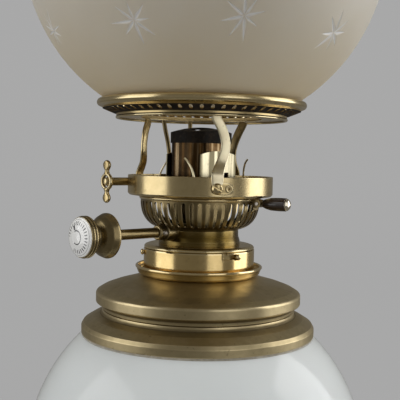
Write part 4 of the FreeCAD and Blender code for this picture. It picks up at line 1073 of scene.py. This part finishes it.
# winder knobs on their shaft; distances run outwards along the shaft
knobLook = {"front": [(0.01, 76.6, 0), (1.5, 76.6, 0.05), (1.5, 72.4, 0.1), (6.6, 72.4, 0.5), (7.2, 74.0, 1.2),
                      (9.2, 75.2, 0.5), (9.95, 75.55, 0.15), (10.45, 76.3, 0.6), (9.95, 77.1, 0.12),
                      (10.45, 77.9, 0.6), (9.95, 78.7, 0.15), (9.9, 79.4, 0.25), (9.6, 79.4, 0.1),
                      (9.6, 78.2, 0.05),
                      (0.01, 78.2, 0)],
            "rear": [(2.65, 61.4, 0.1), (4.2, 61.4, 0.6), (9.6, 62.2, 2.4), (11.2, 63.2, 0.9), (11.3, 64.4, 0.9),
                     (10.2, 66.8, 3.0), (8.2, 69.2, 4.0), (5.6, 70.9, 1.5), (5.1, 72.0, 0.3), (1.56, 72.0, 0.1),
                     (1.56, 64.8, 0.05), (2.65, 64.8, 0.05)],
            "button": [(0.01, 78.2, 0), (9.55, 78.2, 0.05), (9.55, 79.9, 0.5), (8.0, 80.75, 5), (4.2, 81.6, 9),
                       (0.01, 81.8, 0)]}


def makeKnobs():
    point, axis = winderLine()
    for name, key, look, body, slot, node in (
            ("frontKnob", "front", "darkBrass", "front_winder", "brass_dark", "front_knob"),
            ("rearKnob", "rear", "darkBrass", "rear_winder", "brass_dark", "rear_knob"),
            ("enamelButton", "button", "firedEnamel", "front_winder", "enamel", "enamel_button")):
        outline, edge = roundedOutline(knobLook[key], 6)
        finished(turned(name, outline, look, edge, 96, tuple(point), axis), body, slot, node)


makeKnobs()

glandLook = {"corners": [(2.71, 19.8, 0.1), (4.6, 19.8, 0.2), (4.6, 26.8, 0.5), (4.0, 27.5, 0.4), (4.0, 31.4, 0.6),
                         (3.4, 32.2, 0.4), (2.71, 32.2, 0.1)],
             "screw": [(0.01, 3.9, 0), (1.5, 3.9, 0.1), (1.5, 4.7, 0.4), (1.0, 5.5, 0.5), (0.01, 5.85, 0)],
             "screwAt": 29.5}


def makeGland():
    point, axis = winderLine()
    outline, edge = roundedOutline(glandLook["corners"])
    finished(turned("winderGland", outline, "darkBrass", edge, 64, tuple(point), axis), "burner", "brass_dark",
             "winder_gland")
    side = Vector((-axis.y, axis.x, 0))
    screw, worn = roundedOutline(glandLook["screw"])
    at = point + axis * glandLook["screwAt"] * mm
    finished(turned("glandScrew", screw, "dullSteel", worn, 40, tuple(at), side), "burner", "steel", "gland_screw")


makeGland()


# gallery key: a hub ring and two lobes on a shaft; distances run outwards along the shaft
keyLook = {"shaft": [(0.01, -8.4, 0), (2.2, -8.4, 0.2), (2.2, 12.6, 0.3), (3.0, 12.9, 0.3), (3.0, 13.7, 0.3),
                     (2.2, 14.0, 0.2), (2.2, 15.6, 0.3), (1.5, 16.4, 0.7), (0.01, 16.6, 0)],
           "hub": [(3.3, 13.8, 0.5), (4.4, 13.8, 0.8), (4.75, 14.9, 0.8), (4.4, 16.0, 0.8), (3.3, 16.0, 0.5),
                   (3.0, 14.9, 0.6)],
           "lobe": {"at": 14.9, "from": 3.9, "to": 11.5, "thick": 2.4, "neck": 1.25, "flare": 0.9, "neckEnd": 8,
                    "bulb": 3.0, "bulbFrom": 5.0, "rows": 36}}


# a lobe's half width: a slim neck that flares towards the hub, then a drop that follows a sine
def makeKey():
    j = joints["gallery_key_turn"]
    point, axis = Vector(j["pos_m"]), Vector(j["axis"]).normalized()
    shaft, worn = roundedOutline(keyLook["shaft"])
    shaft = turned("keyShaft", shaft, "bandBrass", worn, 48, tuple(point), axis)
    finished(shaft, "gallery_key", "brass_satin", "key_shaft")
    hub, worn = roundedOutline(keyLook["hub"])
    parts = [turned("hub", hub, "bandBrass", worn, 64, tuple(point), axis)]
    lobe = keyLook["lobe"]
    start = np.array(point) / mm + np.array(axis) * lobe["at"]
    sideways = np.repeat(np.array([[-axis.y, axis.x, 0]]), lobe["rows"], 0)
    rise = np.linspace(lobe["from"], lobe["to"], lobe["rows"])
    drop = np.clip((rise - lobe["bulbFrom"]) / (lobe["to"] - lobe["bulbFrom"]), 0.0004, 0.9999)
    neck = lobe["neck"] + lobe["flare"] * np.exp(-((rise - lobe["from"]) / lobe["flare"]) ** 2)
    half = np.maximum(neck * (rise < lobe["neckEnd"]), lobe["bulb"] * np.sin(np.pi * drop ** 1.35) ** 0.75)
    thick = lobe["thick"] * np.clip(half / 1.6, 0.25, 1) ** 0.5
    for sign in (-1, 1):
        centre = start + sign * rise[:, None] * np.array([0, 0, 1.0])
        parts.append(strip(f"lobe{sign}", centre, sideways, 2 * half, thick, "bandBrass", 20, 2.6))
    finished(joined("keyBow", parts), "gallery_key", "brass_satin", "key_bow")


makeKey()

# snuffer lever's grip and its metal end, turned about the lever's own line
gripLook = {"grip": [(1.1, 38.7, 0.1), (2.0, 38.7, 0.3), (2.7, 40.4, 1.5), (3.3, 43.0, 4), (3.5, 47.0, 8),
                     (3.45, 51.6, 0.3), (1.1, 51.6, 0.1)],
            "cap": [(1.1, 51.6, 0.1), (3.2, 51.6, 0.15), (3.15, 52.3, 0.5), (2.2, 53.3, 1.0), (0.01, 53.9, 0),
                    (0.01, 52.3, 0), (1.1, 52.3, 0.05)]}


def makeGrip():
    pivot = joints["snuffer_lever_tilt"]["pos_m"]
    for name, key, look, slot, node in (("leverGrip", "grip", "blackwood", "blackwood", "lever_grip"),
                                        ("gripEnd", "cap", "silverBrass", "steel", "grip_cap")):
        outline, edge = roundedOutline(gripLook[key], 6)
        piece = turned(name, outline, look, edge, 64, (0, 0, pivot[2]), leverOut())
        finished(piece, "snuffer_handle", slot, node)


makeGrip()


# CAD nodes whose shape is right keep it, and take a finish
kept = {"greenFelt": ("foot_felt",), "castIron": ("foot_weight",), "lampCement": ("foot_gasket", "rim_gasket"),
        "darkBrass": ("reservoir_tank", "tube_plate", "front_wick_tube", "rear_wick_tube", "front_winder_shaft",
                      "rear_winder_tube", "rear_spindle", "spindle_brackets", "snuffer_lever", "lever_bracket"),
        "brightBrass": ("front_spur_wheels", "rear_driving_pinion", "rear_driven_pinion", "rear_spur_wheels",
                        "key_cam"),
        "bandBrass": ("air_diffuser",), "smokedBrass": ("flame_sleeve",), "shieldBrass": ("draught_shields",),
        "silverBrass": ("snuffer",), "sootedMetal": ("flame_cap",), "wovenCotton": ("front_wick", "rear_wick"),
        "dullSteel": ("lever_pin",)}
for look, keepers in kept.items():
    for place in (p for node in keepers for p in nodes[node].material_slots):
        place.material = looks[look]
print("finishes on kept nodes:", sum(len(keepers) for keepers in kept.values()))


# stage: a floor that sweeps up into a wall behind, and soft lights
stageLook = {"back": 2.6, "bend": 0.9, "front": -3.0, "half": 4.0, "tall": 4.0}


def makeStage():
    s = stageLook
    a = np.linspace(0, math.pi / 2, 24)
    bend = np.stack([s["back"] - s["bend"] + s["bend"] * np.sin(a), s["bend"] * (1 - np.cos(a))], 1)
    line = np.concatenate([[[s["front"], 0]], bend, [[s["back"], s["tall"]]]])
    x = np.linspace(-s["half"], s["half"], 3)
    y, z = (np.repeat(line[:, i:i + 1], len(x), 1) for i in (0, 1))
    points = np.stack([np.repeat(x[None], len(line), 0), y, z], -1)
    faces = gridFaces(len(line), len(x), closeColumns=False)
    floor = meshPiece("paleFloor", points.reshape(-1, 3), faces, "paleStage", merge=False)
    floor.visible_glossy = False


# soft boxes as (azimuth, width, power), and the dim grey room round them
lightLook = {"distance": 1.1, "middle": 0.62, "tall": 1.25, "topHeight": 2.3, "topForward": 0.2,
             "room": (0.170, 0.163, 0.150),
             "boxes": {"leftSoft": (-75, 0.90, 5.2), "frontSoft": (33, 0.60, 2.2), "rightSoft": (96, 0.80, 7.2),
                       "topFill": (None, 1.80, 46)}}


# an upright soft box at an azimuth round the lamp, facing its axis; without an azimuth it hangs overhead
# and leaves no reflection
def softLight(name, azimuth, width, power):
    g = lightLook
    data = bpy.data.lights.new(name, "AREA")
    data.shape = "RECTANGLE"
    data.size, data.energy = width, power
    data.size_y = g["tall"] if azimuth is not None else width
    light = bpy.data.objects.new(name, data)
    if azimuth is None:
        light.location = (0, -g["topForward"], g["topHeight"])
        light.visible_glossy = False
    else:
        a = math.radians(azimuth)
        place = Vector((math.sin(a), -math.cos(a), 0)) * g["distance"]
        light.location = place + Vector((0, 0, g["middle"]))
        light.rotation_euler = (-place).to_track_quat("-Z", "Y").to_euler()
    bpy.context.scene.collection.objects.link(light)


makeStage()
for name, settings in lightLook["boxes"].items():
    softLight(name, *settings)
world = bpy.data.worlds.new("studio")
world.use_nodes = True
world.node_tree.nodes["Background"].inputs["Color"].default_value = (*lightLook["room"], 1)
bpy.context.scene.world = world
bpy.context.scene.view_settings.view_transform = "Standard"
print("stage and lights ready")
